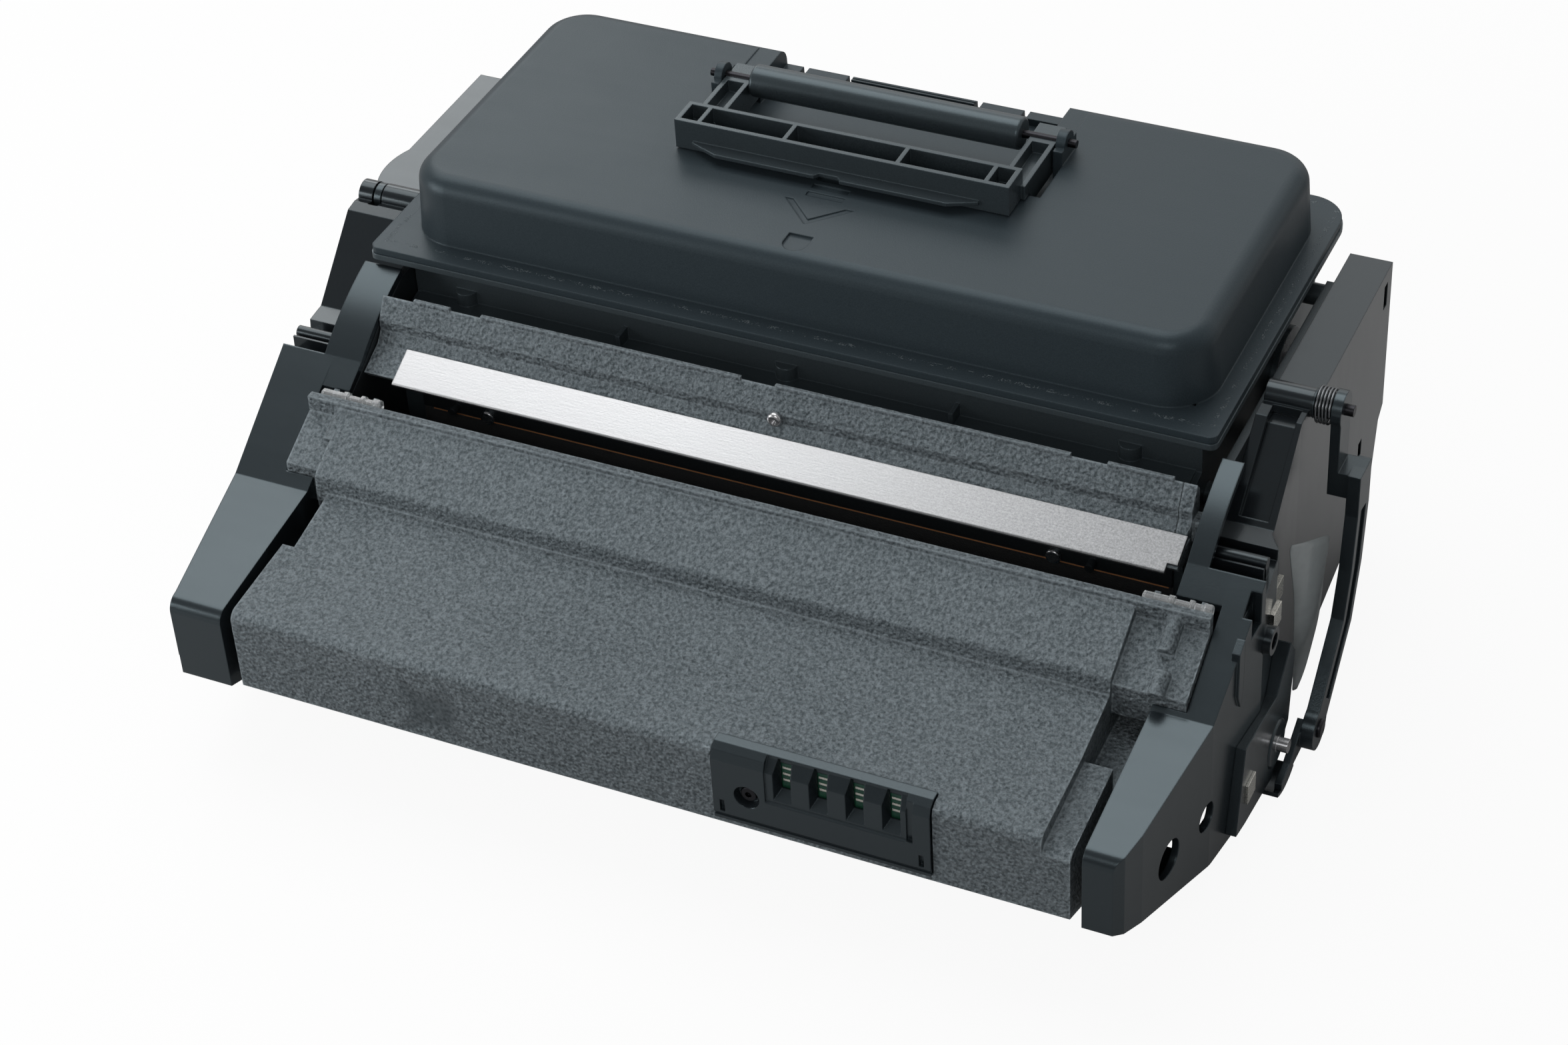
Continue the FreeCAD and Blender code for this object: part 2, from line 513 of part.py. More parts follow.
def strip(x0, x1, narrow=None):
    """The curved strip that runs from an end cap up to the lid's flange."""
    start = Vector(x0, CAP_BACK_Y, CAP_BACK_Z)
    middle = Vector(x0, 121.3, 110.6)
    end = Vector(x0, STRIP_BACK_Y, STRIP_BACK_Z)
    low = Vector(x0, 94.5, 93.4)
    drop = Vector(0, 0, -STRIP_THICKNESS)
    edges = [Part.LineSegment(low, start).toShape(), Part.Arc(start, middle, end).toShape(),
             Part.LineSegment(end, end + drop).toShape(), Part.Arc(end + drop, middle + drop, start + drop).toShape(),
             Part.LineSegment(start + drop, low + drop).toShape(), Part.LineSegment(low + drop, low).toShape()]
    skin = Part.Face(Part.Wire(edges)).extrude(Vector(x1 - x0, 0, 0))
    if narrow is None:
        return skin
    return skin.cut(block(narrow, x1 + 1, CAP_BACK_Y, STRIP_BACK_Y + 1, 80, 130))


def cover_outline(inset):
    """Side view of a rear side cover."""
    low = FRAME_BOTTOM_Z + inset
    floor = VALLEY_Z - VALLEY_DEPTH - inset
    return [(CAP_BACK_Y + SEAT_GAP + inset, low), (CAP_BACK_Y + SEAT_GAP + inset, floor),
            (VALLEY_BACK_Y - 0.6 + inset, floor), (VALLEY_BACK_Y + inset, VALLEY_Z - inset),
            (ARCH_FOOT_Y + 0.3 * inset, VALLEY_Z - inset), (ARCH_TOP_Y, ARCH_TOP_Z - 1.3 * inset),
            (168, ARCH_TOP_Z + 0.4 - 1.3 * inset), (184, COVER_TOP_Z - inset),
            (COVER_BACK_Y - inset, COVER_TOP_Z - inset), (COVER_BACK_Y - inset, 54), (262 - inset, 50),
            (257 - inset, 30), (240, 18 + inset), (182, low)]


def rear_cover(plan_points, inner_points):
    """A cover over one end of the hopper, open towards the bearing plate."""
    x0 = min(x for x, y in plan_points)
    x1 = max(x for x, y in plan_points)
    shell = prism(cover_outline(0), x0, x1).common(slab(plan_points, 0, 130))
    return shell.cut(prism(cover_outline(WALL), x0 - 1, x1 + 1).common(slab(inner_points, 0, 130)))


def valley_ribs(x0, x1):
    """The rib and the round ridge that cross the low ground between end cap and cover."""
    floor = VALLEY_Z - VALLEY_DEPTH
    rib = prism([(VALLEY_RIB_Y - 0.6, floor - 1), (VALLEY_RIB_Y - 0.4, VALLEY_Z + 1.7), (VALLEY_RIB_Y + 0.4, VALLEY_Z + 1.7),
                 (VALLEY_RIB_Y + 0.6, floor - 1)], x0, x1)
    web = block(x0, x1, VALLEY_RIDGE_Y - 1.6, VALLEY_RIDGE_Y + 1.6, floor - 1, VALLEY_Z + 1)
    return [rib, web, rod(VALLEY_RIDGE_Y, VALLEY_Z + 1, 2.2, x0, x1)]


def left_rear_cover():
    x = PLATE_OUTSIDE
    y0 = CAP_BACK_Y + SEAT_GAP
    plan = [(x, y0), (LEFT - 32.4, y0), (LEFT - 34.5, 131), (LEFT_REAR_X, 190), (LEFT_REAR_X, 268), (x, 268)]
    inner = [(x + 1, y0), (LEFT - 29.9, y0), (LEFT - 32, 131), (LEFT_REAR_X + WALL, 190), (LEFT_REAR_X + WALL, 268),
             (x + 1, 268)]
    cover = rear_cover(plan, inner)
    boss = rod(PIVOT_Y, PIVOT_Z, PIVOT_BOSS_RADIUS, LEFT - 36.5, x)
    bulge = post(LEFT_REAR_X + 27.4, 198, 30, 12, COVER_TOP_Z).common(
        block(LEFT - 46, LEFT_REAR_X + 1, 180, 215, 12, COVER_TOP_Z))
    shaft_seat = rod(DRUM_Y, DRUM_Z, 6, LEFT - 31, GEAR_B_LEFT - 1.5)
    cover = joined(cover, boss, bulge, shaft_seat, *valley_ribs(LEFT - 33, x - 3))
    arm_slot = block(LEFT_ARM_OUTER - 0.6, LEFT_ARM_OUTER + LEFT_ARM_THICKNESS + 0.6, PIVOT_Y - 8, PIVOT_Y + 9,
                     PIVOT_Z - 12, PIVOT_Z + 8)
    drive_hole = rod(DRIVE_Y, DRIVE_Z, 9.5, LEFT - 46, LEFT - 26)
    pivot_hole = rod(PIVOT_Y, PIVOT_Z, PIVOT_PIN_RADIUS, LEFT - 35, x)
    shaft_hole = rod(DRUM_Y, DRUM_Z, SHAFT_RADIUS, LEFT - 28, GEAR_B_LEFT)
    underside = block(LEFT - 30.9, -100, 104, 240, FRAME_BOTTOM_Z - 1, FRAME_BOTTOM_Z + WALL)
    arm_way = block(LEFT_ARM_OUTER - SHUTTER_CLEAR, LEFT_ARM_OUTER + LEFT_ARM_THICKNESS + SHUTTER_CLEAR, 180, 208,
                    FRAME_BOTTOM_Z, 16)
    gear_way = block(GEAR_B_LEFT - 1, -100, 104, 109, FRAME_BOTTOM_Z - 1, 60)
    flange_way = block(FLANGE_LEFT - SEAT_GAP, x + 1, PIVOT_Y - 8, PIVOT_Y + 8, FLANGE_BOTTOM - SEAT_GAP, 130)
    return cover.cut([arm_slot, arm_way, drive_hole, pivot_hole, shaft_hole, underside, gear_way, flange_way])


def right_rear_cover():
    x = RIGHT_OUTSIDE
    y0 = CAP_BACK_Y + SEAT_GAP
    plan = [(x, y0), (RIGHT + 26.7, y0), (RIGHT + 24, 126), (RIGHT + 19.8, 132), (RIGHT_REAR_X + 0.5, 162), (RIGHT_REAR_X, 268),
            (x, 268)]
    inner = [(x - 1, y0), (RIGHT + 24.2, y0), (RIGHT + 21.5, 125), (RIGHT + 17.3, 131), (RIGHT_REAR_X - WALL, 162),
             (RIGHT_REAR_X - WALL, 268), (x - 1, 268)]
    cover = rear_cover(plan, inner)
    boss = rod(PIVOT_Y, PIVOT_Z, PIVOT_BOSS_RADIUS, x, RIGHT_REAR_X + 1)
    tube = rod(108, 72, 5, RIGHT + 21.5, RIGHT + 29.5)
    groove_floor = [(ARCH_FOOT_Y + 2, VALLEY_Z - 1), (ARCH_TOP_Y + 1, ARCH_TOP_Z - 3.2),
                    (PIVOT_Y - 6.5, ARCH_TOP_Z - 3.2)]
    groove_top = [(PIVOT_Y - 6.5, 125), (ARCH_FOOT_Y + 2, 125)]
    groove_skin = [(y + 1.6, z - 1.8) for y, z in reversed(groove_floor)]
    liner = prism(groove_floor + groove_skin, ARCH_GROOVE_LEFT - 1, ARCH_GROOVE_RIGHT + 1)
    cover = joined(cover, boss, tube, *valley_ribs(x + 1.5, RIGHT + 23.5))
    cover = joined(cover.cut(prism(groove_floor + groove_top, ARCH_GROOVE_LEFT, ARCH_GROOVE_RIGHT)), liner)
    pivot_hole = rod(PIVOT_Y, PIVOT_Z, PIVOT_PIN_RADIUS, x, RIGHT + 45.5)
    diamond = block(RIGHT_REAR_X - 4, RIGHT_REAR_X + 1, 236.5, 240.5, 50, 57)
    pin_recess = block(RIGHT_REAR_X - 3, RIGHT_REAR_X + 1, 258, 262, 101, 111)
    knob_hole = rod(DRUM_Y, DRUM_Z, 9.3, x, RIGHT + 35.5)
    return cover.cut([pivot_hole, diamond, pin_recess, knob_hole, rod(108, 72, 3, RIGHT + 21.5, RIGHT + 31.5)])


def hopper_outline(inset):
    """Side view of the toner hopper, from the flange down round the developer rollers."""
    return [(HOPPER_FRONT_Y + inset, FLANGE_BOTTOM), (HOPPER_FRONT_Y + inset, 103 - inset),
            (HOPPER_NOSE_Y + inset, 99 - inset), (HOPPER_NOSE_Y + inset, 37.5 - inset), (134, 10.5 + inset),
            (150, 4 + inset), (165, inset), (252, inset), (HOPPER_BACK_Y - inset, 16 + 0.4 * inset),
            (HOPPER_BACK_Y - inset, FLANGE_BOTTOM)]


def hopper_body():
    tub = prism(hopper_outline(0), HOPPER_LEFT, HOPPER_RIGHT)
    flange_wire = rounded_plan(FLANGE_LEFT, FLANGE_RIGHT, FLANGE_FRONT, FLANGE_BACK, FLANGE_BOTTOM, 3, FLANGE_ROUND)
    flange = Part.Face(flange_wire).extrude(Vector(0, 0, FLANGE_SEAM - FLANGE_BOTTOM))
    body = joined(tub, flange)
    outline = hopper_outline(WALL)
    outline[0] = (outline[0][0], FLANGE_SEAM + 1)
    outline[-1] = (outline[-1][0], FLANGE_SEAM + 1)
    cavity = prism(outline, HOPPER_LEFT + WALL, HOPPER_RIGHT - WALL)
    mouth = block(-ROLLER_HALF - 2, ROLLER_HALF + 2, 120, 140, 13.2, 36)
    shafts = [rod(y, z, SHAFT_RADIUS + 0.4, HOPPER_LEFT - 1, HOPPER_RIGHT + 1)
              for y, z in ((DEVELOPER_Y, DEVELOPER_Z), (SUPPLY_Y, SUPPLY_Z))]
    agitator = rod(AGITATOR_Y, AGITATOR_Z, SHAFT_RADIUS + 0.4, HOPPER_LEFT - 1, HOPPER_LEFT + WALL + 1)
    fill_hole = rod(FILL_Y, FILL_Z, FILL_RADIUS, HOPPER_RIGHT - WALL - 1, HOPPER_RIGHT + 1)
    body = body.cut([cavity, mouth, agitator, fill_hole] + shafts)
    bosses = [post(x, HOPPER_FRONT_Y + 0.5, 4.2, 103, 108.5) for x in (LEFT + 21, -6.5, RIGHT - 34.8)]
    ribs = [block(x - 0.8, x + 0.8, 139.5, HOPPER_FRONT_Y + 1, 103, 108.5) for x in (-69, 57.5)]
    ledge = block(LEFT + 2, RIGHT - 11.5, 133, HOPPER_FRONT_Y, 101.6, 103.4)
    agitator_socket = rod(AGITATOR_Y, AGITATOR_Z, 6, HOPPER_RIGHT - WALL - 5, HOPPER_RIGHT - 1)
    spacers = [rod(y, z, 4, HOPPER_RIGHT - 1, PLATE_RIGHT) for y, z in ((160, 20), (250, 40), (250, 108), (152, 90))]
    body = joined(body, ledge, agitator_socket, *bosses, *ribs, *spacers)
    return body.cut(rod(AGITATOR_Y, AGITATOR_Z, SHAFT_RADIUS + RUNNING_FIT, 100, HOPPER_RIGHT - WALL))


def hump(inset, top):
    """The drafted raised box of the lid, or its inner space."""
    foot = rounded_plan(HUMP_LEFT + inset, HUMP_RIGHT - inset, HUMP_FRONT + inset, HUMP_BACK - inset,
                        FLANGE_TOP - 1, HUMP_ROUND - inset, HUMP_ROUND - inset)
    lean = HUMP_DRAFT + inset
    crown = rounded_plan(HUMP_LEFT + lean, HUMP_RIGHT - lean, HUMP_FRONT + lean, HUMP_BACK - lean, top,
                         HUMP_ROUND - lean, HUMP_ROUND - lean)
    return Part.makeLoft([foot, crown], True, True)


def hopper_lid():
    outer = hump(0, HUMP_TOP)
    outer = rounded(outer, HUMP_EDGE_ROUND, lambda p: near(p.z, HUMP_TOP))
    step = FLANGE_STEP
    flange_wire = rounded_plan(FLANGE_LEFT + step, FLANGE_RIGHT - step, FLANGE_FRONT + step, FLANGE_BACK - step,
                               FLANGE_SEAM, 3, FLANGE_ROUND)
    flange = Part.Face(flange_wire).extrude(Vector(0, 0, FLANGE_TOP - FLANGE_SEAM))
    lid = joined(outer, flange)
    recess = block(RECESS_LEFT, RECESS_RIGHT, RECESS_FRONT, HUMP_BACK + 9, RECESS_FLOOR, HUMP_TOP + 9)
    sill = block(RECESS_LEFT, RECESS_RIGHT, HUMP_BACK - 6, HUMP_BACK + 9, RECESS_FLOOR, NOTCH_SILL)
    recess = recess.cut([sill] + rear_corners())
    keep = block(RECESS_LEFT - WALL, RECESS_RIGHT + WALL, RECESS_FRONT - WALL, HUMP_BACK + 9,
                 RECESS_FLOOR - WALL, HUMP_TOP + 9)
    inside = hump(WALL, HUMP_TOP - WALL).cut(keep)
    mouth = block(HOPPER_LEFT + WALL, HOPPER_RIGHT - 2 * WALL, HUMP_FRONT + 2 * WALL, HOPPER_BACK_Y - WALL,
                  FLANGE_SEAM - 1, FLANGE_TOP)
    corner_tops = [block(RECESS_LEFT + 2, NOTCH_LEFT, GRIP_Y + CORNER_GAP, HUMP_BACK, HUMP_TOP - 0.35, HUMP_TOP + 1),
                   block(NOTCH_RIGHT, RECESS_RIGHT - 3.5, GRIP_Y + CORNER_GAP, HUMP_BACK, HUMP_TOP - 0.35, HUMP_TOP + 1)]
    slots = [block(x - 1.1, x + 1.1, HUMP_BACK - 7, HUMP_BACK + 1, NOTCH_SILL - 2.6, NOTCH_SILL + 1)
             for x in SILL_SLOTS]
    lid = lid.cut([recess, inside, mouth] + corner_tops + slots)
    seam_strip = block(SILL_SLOTS[1] + 1.1, SILL_SLOTS[2] - 1.1, HUMP_BACK - 5.0, HUMP_BACK - 2.6, NOTCH_SILL - 1,
                       NOTCH_SILL + 0.9)
    seam_line = block(SILL_SLOTS[1], SILL_SLOTS[2], HUMP_BACK - 4.2, HUMP_BACK - 3.6, NOTCH_SILL + 0.4, NOTCH_SILL + 2)
    lid = joined(lid, seam_strip.cut(seam_line))
    ears = [block(RECESS_LEFT - 0.1, ARM_LEFT - 0.6, GRIP_Y - 7, GRIP_Y + 7, RECESS_FLOOR, GRIP_Z),
            block(ARM_RIGHT + 0.6, RECESS_RIGHT + 0.1, GRIP_Y - 7, GRIP_Y + 7, RECESS_FLOOR, GRIP_Z)]
    domes = [rod(GRIP_Y, GRIP_Z, 4.5, RECESS_LEFT - 0.1, ARM_LEFT - 0.6),
             rod(GRIP_Y, GRIP_Z, 4.5, ARM_RIGHT + 0.6, RECESS_RIGHT + 0.1)]
    lid = joined(lid, *ears, *domes)
    pin_hole = rod(GRIP_Y, GRIP_Z, PIN_RADIUS + RUNNING_FIT, RECESS_LEFT - 8, RECESS_RIGHT + 8)
    dish = post(-6.5, 158.4, 4.5, HUMP_TOP - 0.8, HUMP_TOP + 1).fuse(
        block(-11, -2, 158.4, 163.5, HUMP_TOP - 0.8, HUMP_TOP + 1))
    return lid.cut([pin_hole, dish]).cut(arrow())


def rear_corners():
    """The two corner blocks of the lid behind the handle's pivots."""
    y0 = GRIP_Y + CORNER_GAP
    y1 = HUMP_BACK + 9
    top = HUMP_TOP + 9
    lean = NOTCH_LEAN * (top - NOTCH_SILL) / (HUMP_TOP - NOTCH_SILL)
    right = [(NOTCH_RIGHT, RECESS_FLOOR), (NOTCH_RIGHT, NOTCH_SILL), (NOTCH_RIGHT + lean, top), (RECESS_RIGHT, top),
             (RECESS_RIGHT, RECESS_FLOOR)]
    return [block(RECESS_LEFT, NOTCH_LEFT, y0, y1, RECESS_FLOOR, top), panel(right, y0, y1)]


def arrow():
    """Three bars and a head pointing to the chip side, sunk a little into the lid."""
    z0, z1 = HUMP_TOP - 0.4, HUMP_TOP + 1
    bars = [block(-15.5, -1.5, 186.5 + 5 * n, 189 + 5 * n, z0, z1) for n in range(3)]
    head = slab([(-8.5, 170), (4.5, 183), (1.5, 183), (-8.5, 173), (-18.5, 183), (-21.5, 183)], z0, z1)
    return bars + [head]


def handle_frame():
    """Two channel arms, a ribbed cross bar and the thin finger lip in front of it."""
    arms = []
    for x0 in (ARM_LEFT, ARM_RIGHT - ARM_WIDTH):
        side = [(BAR_BACK - 2, ARM_TOP), (BAR_BACK - 2, BAR_BOTTOM), (RECESS_FRONT + 0.6, BAR_BOTTOM),
                (RECESS_FRONT + 3, ARM_BOTTOM),
                (GRIP_Y + 3, ARM_BOTTOM), (GRIP_Y + 8, ARM_BOTTOM + 5), (GRIP_Y + 8, ARM_TOP)]
        arm = prism(side, x0, x0 + ARM_WIDTH)
        groove = block(x0 + THIN_WALL, x0 + ARM_WIDTH - THIN_WALL, BAR_BACK + 1, GRIP_Y - 4,
                       ARM_BOTTOM + THIN_WALL + 4, ARM_TOP + 1)
        arms.append(arm.cut(groove))
    bar = block(BAR_LEFT, BAR_RIGHT, BAR_FRONT, BAR_BACK, BAR_BOTTOM, BAR_TOP)
    trough = block(BAR_LEFT + THIN_WALL, BAR_RIGHT - THIN_WALL, BAR_FRONT + THIN_WALL, BAR_BACK - THIN_WALL,
                   BAR_BOTTOM + THIN_WALL, BAR_TOP + 1)
    ribs = [block(x - 0.8, x + 0.8, BAR_FRONT + 1, BAR_BACK - 1, BAR_BOTTOM + 1, BAR_TOP) for x in (-62, -29, 14, 47)]
    lip_front = BAR_FRONT - 5.5
    lip = slab([(-64, BAR_FRONT + 1), (-64, BAR_FRONT - 1), (-53, lip_front), (-15, lip_front),
                (-13.5, lip_front + 2), (-6.5, lip_front + 2), (-5, lip_front), (35, lip_front),
                (45, BAR_FRONT - 1), (45, BAR_FRONT + 1)], BAR_BOTTOM + 2.4, BAR_BOTTOM + 3.8)
    frame = joined(bar.cut(trough), lip, *ribs, *arms)
    return frame.cut(rod(GRIP_Y, GRIP_Z, PIN_RADIUS, ARM_LEFT - 1, ARM_RIGHT + 1))


def grip_bar():
    bar = rod(GRIP_Y, GRIP_Z, GRIP_RADIUS, GRIP_LEFT, GRIP_RIGHT)
    bar = rounded(bar, 1.2, lambda p: near(p.x, GRIP_LEFT) or near(p.x, GRIP_RIGHT))
    return bar.cut(rod(GRIP_Y, GRIP_Z, PIN_RADIUS, GRIP_LEFT - 1, GRIP_RIGHT + 1))


def handle_pin():
    return rod(GRIP_Y, GRIP_Z, PIN_RADIUS, RECESS_LEFT - 3, RECESS_RIGHT + 3)


def slope_point(along, above):
    """A point measured up the slope of the bright plate and square to it."""
    length = math.hypot(PLATE_HIGH_Y - PLATE_LOW_Y, PLATE_HIGH_Z - PLATE_LOW_Z)
    cos = (PLATE_HIGH_Y - PLATE_LOW_Y) / length
    sin = (PLATE_HIGH_Z - PLATE_LOW_Z) / length
    return PLATE_LOW_Y + along * cos - above * sin, PLATE_LOW_Z + along * sin + above * cos


PLATE_SLOPE = math.hypot(PLATE_HIGH_Y - PLATE_LOW_Y, PLATE_HIGH_Z - PLATE_LOW_Z)


def bright_plate():
    t = BRIGHT_THICKNESS
    lip = [slope_point(0, -t), slope_point(0.6, -t - 1.6), slope_point(1.6, -t - 1.6), slope_point(2.2, -t)]
    sheet = [slope_point(0, -t), slope_point(0, -0.4), slope_point(0.5, 0), slope_point(PLATE_SLOPE, 0),
             slope_point(PLATE_SLOPE, -t)]
    plate = joined(prism(sheet, BRIGHT_LEFT, BRIGHT_RIGHT), prism(lip, BRIGHT_LEFT, BRIGHT_NOTCH))
    notch = prism([slope_point(-1, 2), slope_point(3.6, 2), slope_point(3.6, -5), slope_point(-1, -5)],
                  BRIGHT_NOTCH, BRIGHT_RIGHT + 1)
    return plate.cut(notch)


def frame_beam():
    """The grained beam over the slot, with the shelf that carries the bright plate."""
    t = BRIGHT_THICKNESS
    outline = [slope_point(2.6, -t), slope_point(PLATE_SLOPE + 0.3, -t), (BEAM_FRONT_Y, BEAM_CREASE_Z),
               (BEAM_FRONT_Y, BEAM_FRONT_Z), (BEAM_BACK_Y, BEAM_BACK_Z), (126, 113), (126.5, 95), (118, 91), slope_point(3.4, -t - 3.4)]
    beam = prism(outline, BEAM_LEFT, BEAM_RIGHT)
    chamfer = slab([(BEAM_RIGHT - 3, 112), (BEAM_RIGHT + 1, 112), (BEAM_RIGHT + 1, 120)], 98, 112)
    holes = [stud(x, 105, 1.1, 114, 120) for x in (LEFT + 28.5, LEFT + 50, RIGHT - 50.5)]
    tenon = block(BEAM_RIGHT - 1, PLATE_RIGHT, 119, 125, 96, 104)
    seam = prism(outline, BEAM_RIGHT - 4.9, BEAM_RIGHT - 4.5)
    seam = seam.cut(prism([(y + 0.4, z - 0.5) for y, z in outline], BEAM_RIGHT - 6, BEAM_RIGHT - 4))
    lips = [block(x0, x1, BEAM_BACK_Y - 0.6, BEAM_BACK_Y + 0.8, BEAM_BACK_Z - 3, BEAM_BACK_Z + 0.9)
            for x0, x1 in ((LEFT + 13, LEFT + 27.5), (-114, -13), (0, RIGHT - 47.5), (RIGHT - 34.5, RIGHT - 11.5))]
    screw_hole = stud(PLATE_SCREW_X, PLATE_SCREW_Z, 1.2, BEAM_FRONT_Y - 1, BEAM_FRONT_Y + 7)
    screw_seat = stud(PLATE_SCREW_X, PLATE_SCREW_Z, 3.0, BEAM_FRONT_Y - 3, BEAM_FRONT_Y)
    return joined(beam, tenon, *lips).cut([chamfer, seam, screw_hole, screw_seat] + holes)


def plate_screw():
    face = BEAM_FRONT_Y
    head = stud(PLATE_SCREW_X, PLATE_SCREW_Z, 2.8, face - 2.1, face)
    head = rounded(head, 1.2, lambda p: near(p.y, face - 2.1))
    shank = stud(PLATE_SCREW_X, PLATE_SCREW_Z, 1.2, face - 0.5, BEAM_FRONT_Y + 7)
    return joined(head, shank).cut(stud(PLATE_SCREW_X, PLATE_SCREW_Z, 1.0, face - 3, face - 1.1))


def doctor_bracket():
    plate = block(LEFT + 9, RIGHT - 12.5, HOPPER_NOSE_Y - 2.4, HOPPER_NOSE_Y - 0.4, COPPER_Z, 86)
    holes = [stud(x, COPPER_Z + 2, 1.5, 120, 130) for x in (LEFT + 36, RIGHT - 54.5)]
    studs = [stud(x, COPPER_Z + 3, 1.6, HOPPER_NOSE_Y - 6.5, HOPPER_NOSE_Y - 2) for x in (LEFT + 23, RIGHT - 40.5)]
    return joined(plate.cut(holes), *studs)


def doctor_blade():
    blade = block(LEFT + 11, RIGHT - 13.5, HOPPER_NOSE_Y - 0.4, HOPPER_NOSE_Y, 40, 84)
    line = block(LEFT + 13, RIGHT - 13.5, HOPPER_NOSE_Y - 2.4, HOPPER_NOSE_Y - 0.4, COPPER_Z - 0.6, COPPER_Z)
    holes = [stud(x, COPPER_Z + 2, 1.5, 120, 130) for x in (LEFT + 36, RIGHT - 54.5)]
    return joined(blade, line).cut(holes)


def blade_seal():
    return block(LEFT + 9, RIGHT - 12.5, HOPPER_NOSE_Y - 2.0, HOPPER_NOSE_Y - 0.4, 42, COPPER_Z - 0.6)


def bracket_screws():
    screws = []
    for x in (LEFT + 36, RIGHT - 54.5):
        head = stud(x, COPPER_Z + 2, 2.8, HOPPER_NOSE_Y - 4.2, HOPPER_NOSE_Y - 2.4)
        head = rounded(head, 0.8, lambda p: near(p.y, HOPPER_NOSE_Y - 4.2))
        screws.append(head.fuse(stud(x, COPPER_Z + 2, 1.45, HOPPER_NOSE_Y - 2.4, HOPPER_NOSE_Y)).removeSplitter())
    return Part.makeCompound(screws)


def light_guide(x0):
    guide = rod(ROD_Y, ROD_Z, ROD_RADIUS, x0, x0 + ROD_LENGTH)
    collars = [rod(ROD_Y, ROD_Z, ROD_RADIUS + 0.3, x0 + x, x0 + x + 1.2) for x in (7.5, 15.5)]
    return joined(guide, *collars)


def chip_outline(inset):
    top = FRONT_TOP + 1.2 - inset
    return [(CHIP_FRONT + inset, CHIP_BOTTOM + inset), (CHIP_FRONT + inset, top - 5), (CHIP_FRONT + inset + 1.2, top - 1.6),
            (CHIP_FRONT + inset + 4, top), (6.2, top + 0.2), (6.2, CHIP_BOTTOM + inset)]


def chip_holder():
    body = prism(chip_outline(0), CHIP_LEFT, CHIP_RIGHT)
    cuts = [block(CHIP_LEFT + 4, CHIP_RIGHT - 4, 3.6, 7, CHIP_BOTTOM + 3, FRONT_TOP - 2),
            block(CHIP_LEFT - 1, CHIP_RIGHT + 1, CHIP_FRONT - 1, CHIP_FRONT + 0.7, CHIP_BOTTOM + 1.2, CHIP_BOTTOM + 2.4)]
    low_left = WINDOW_FIRST - WINDOW_PITCH / 2 + 0.6
    low_right = WINDOW_FIRST + WINDOW_PITCH * (WINDOW_COUNT - 0.5) - 1.0
    cuts.append(prism([(CHIP_FRONT - 1, 48.4), (CHIP_FRONT + 0.8, 49.4), (CHIP_FRONT + 0.8, FRONT_TOP - 4.6),
                       (CHIP_FRONT + 3.6, FRONT_TOP + 0.3), (CHIP_FRONT + 3.6, FRONT_TOP + 3), (CHIP_FRONT - 1, FRONT_TOP + 3)],
                      low_left, low_right))
    for number in range(WINDOW_COUNT):
        x = WINDOW_FIRST + WINDOW_PITCH * number
        mouth = rounded_window(x, WINDOW_WIDTH, 49.3, 69.0, CHIP_FRONT - 1)
        throat = rounded_window(x + 0.6, 4.2, 53.5, 66.0, 3.7)
        cuts.append(Part.makeLoft([mouth, throat], True, True))
    cuts.append(Part.makeCone(4.6, 4.0, 3.4, Vector(CHIP_SCREW_X, CHIP_FRONT - 0.2, CHIP_SCREW_Z), Vector(0, 1, 0)))
    cuts.append(stud(CHIP_SCREW_X, CHIP_SCREW_Z, 1.7, CHIP_FRONT, 8))
    cuts += [block(x - 0.9, x + 0.9, CHIP_FRONT - 1, CHIP_FRONT + 1.5, 40, 45) for x in (34.2, 104.2)]
    cuts.append(block(99.0, 101.4, CHIP_FRONT - 1, CHIP_FRONT + 1.6, 49.3, 70))
    return body.cut(cuts)


def rounded_window(x, width, z0, z1, y):
    corners = [Vector(x - width / 2, y, z0), Vector(x + width / 2, y, z0), Vector(x + width / 2, y, z1),
               Vector(x - width / 2, y, z1)]
    return Part.makePolygon(corners + corners[:1])


def chip_board():
    return block(CHIP_LEFT + 4.5, CHIP_RIGHT - 4.5, 4.2, 5.4, CHIP_BOTTOM + 6, FRONT_TOP - 2.5).cut(
        stud(CHIP_SCREW_X, CHIP_SCREW_Z, 4.5, 3, 7))


def chip_contacts():
    pads = []
    for number in range(WINDOW_COUNT):
        x = WINDOW_FIRST + WINDOW_PITCH * number + 0.6
        pads += [block(x - 1.9, x + 1.9, 4.0, 4.2, z, z + 0.9) for z in (56.0, 58.6, 61.2)]
    return Part.makeCompound(pads)


def chip_screw():
    head = stud(CHIP_SCREW_X, CHIP_SCREW_Z, 2.9, CHIP_FRONT + 1.4, CHIP_FRONT + 3.2)
    head = rounded(head, 0.6, lambda p: near(p.y, CHIP_FRONT + 1.4))
    shank = stud(CHIP_SCREW_X, CHIP_SCREW_Z, 1.5, CHIP_FRONT + 3.2, 6.5)
    socket = stud(CHIP_SCREW_X, CHIP_SCREW_Z, 1.1, CHIP_FRONT + 1.0, CHIP_FRONT + 2.6)
    return joined(head, shank).cut(socket)


def drum_tube():
    tube = rod(DRUM_Y, DRUM_Z, DRUM_RADIUS, -ROLLER_HALF, ROLLER_HALF)
    return tube.cut(rod(DRUM_Y, DRUM_Z, DRUM_RADIUS - 0.9, -ROLLER_HALF - 1, ROLLER_HALF + 1))


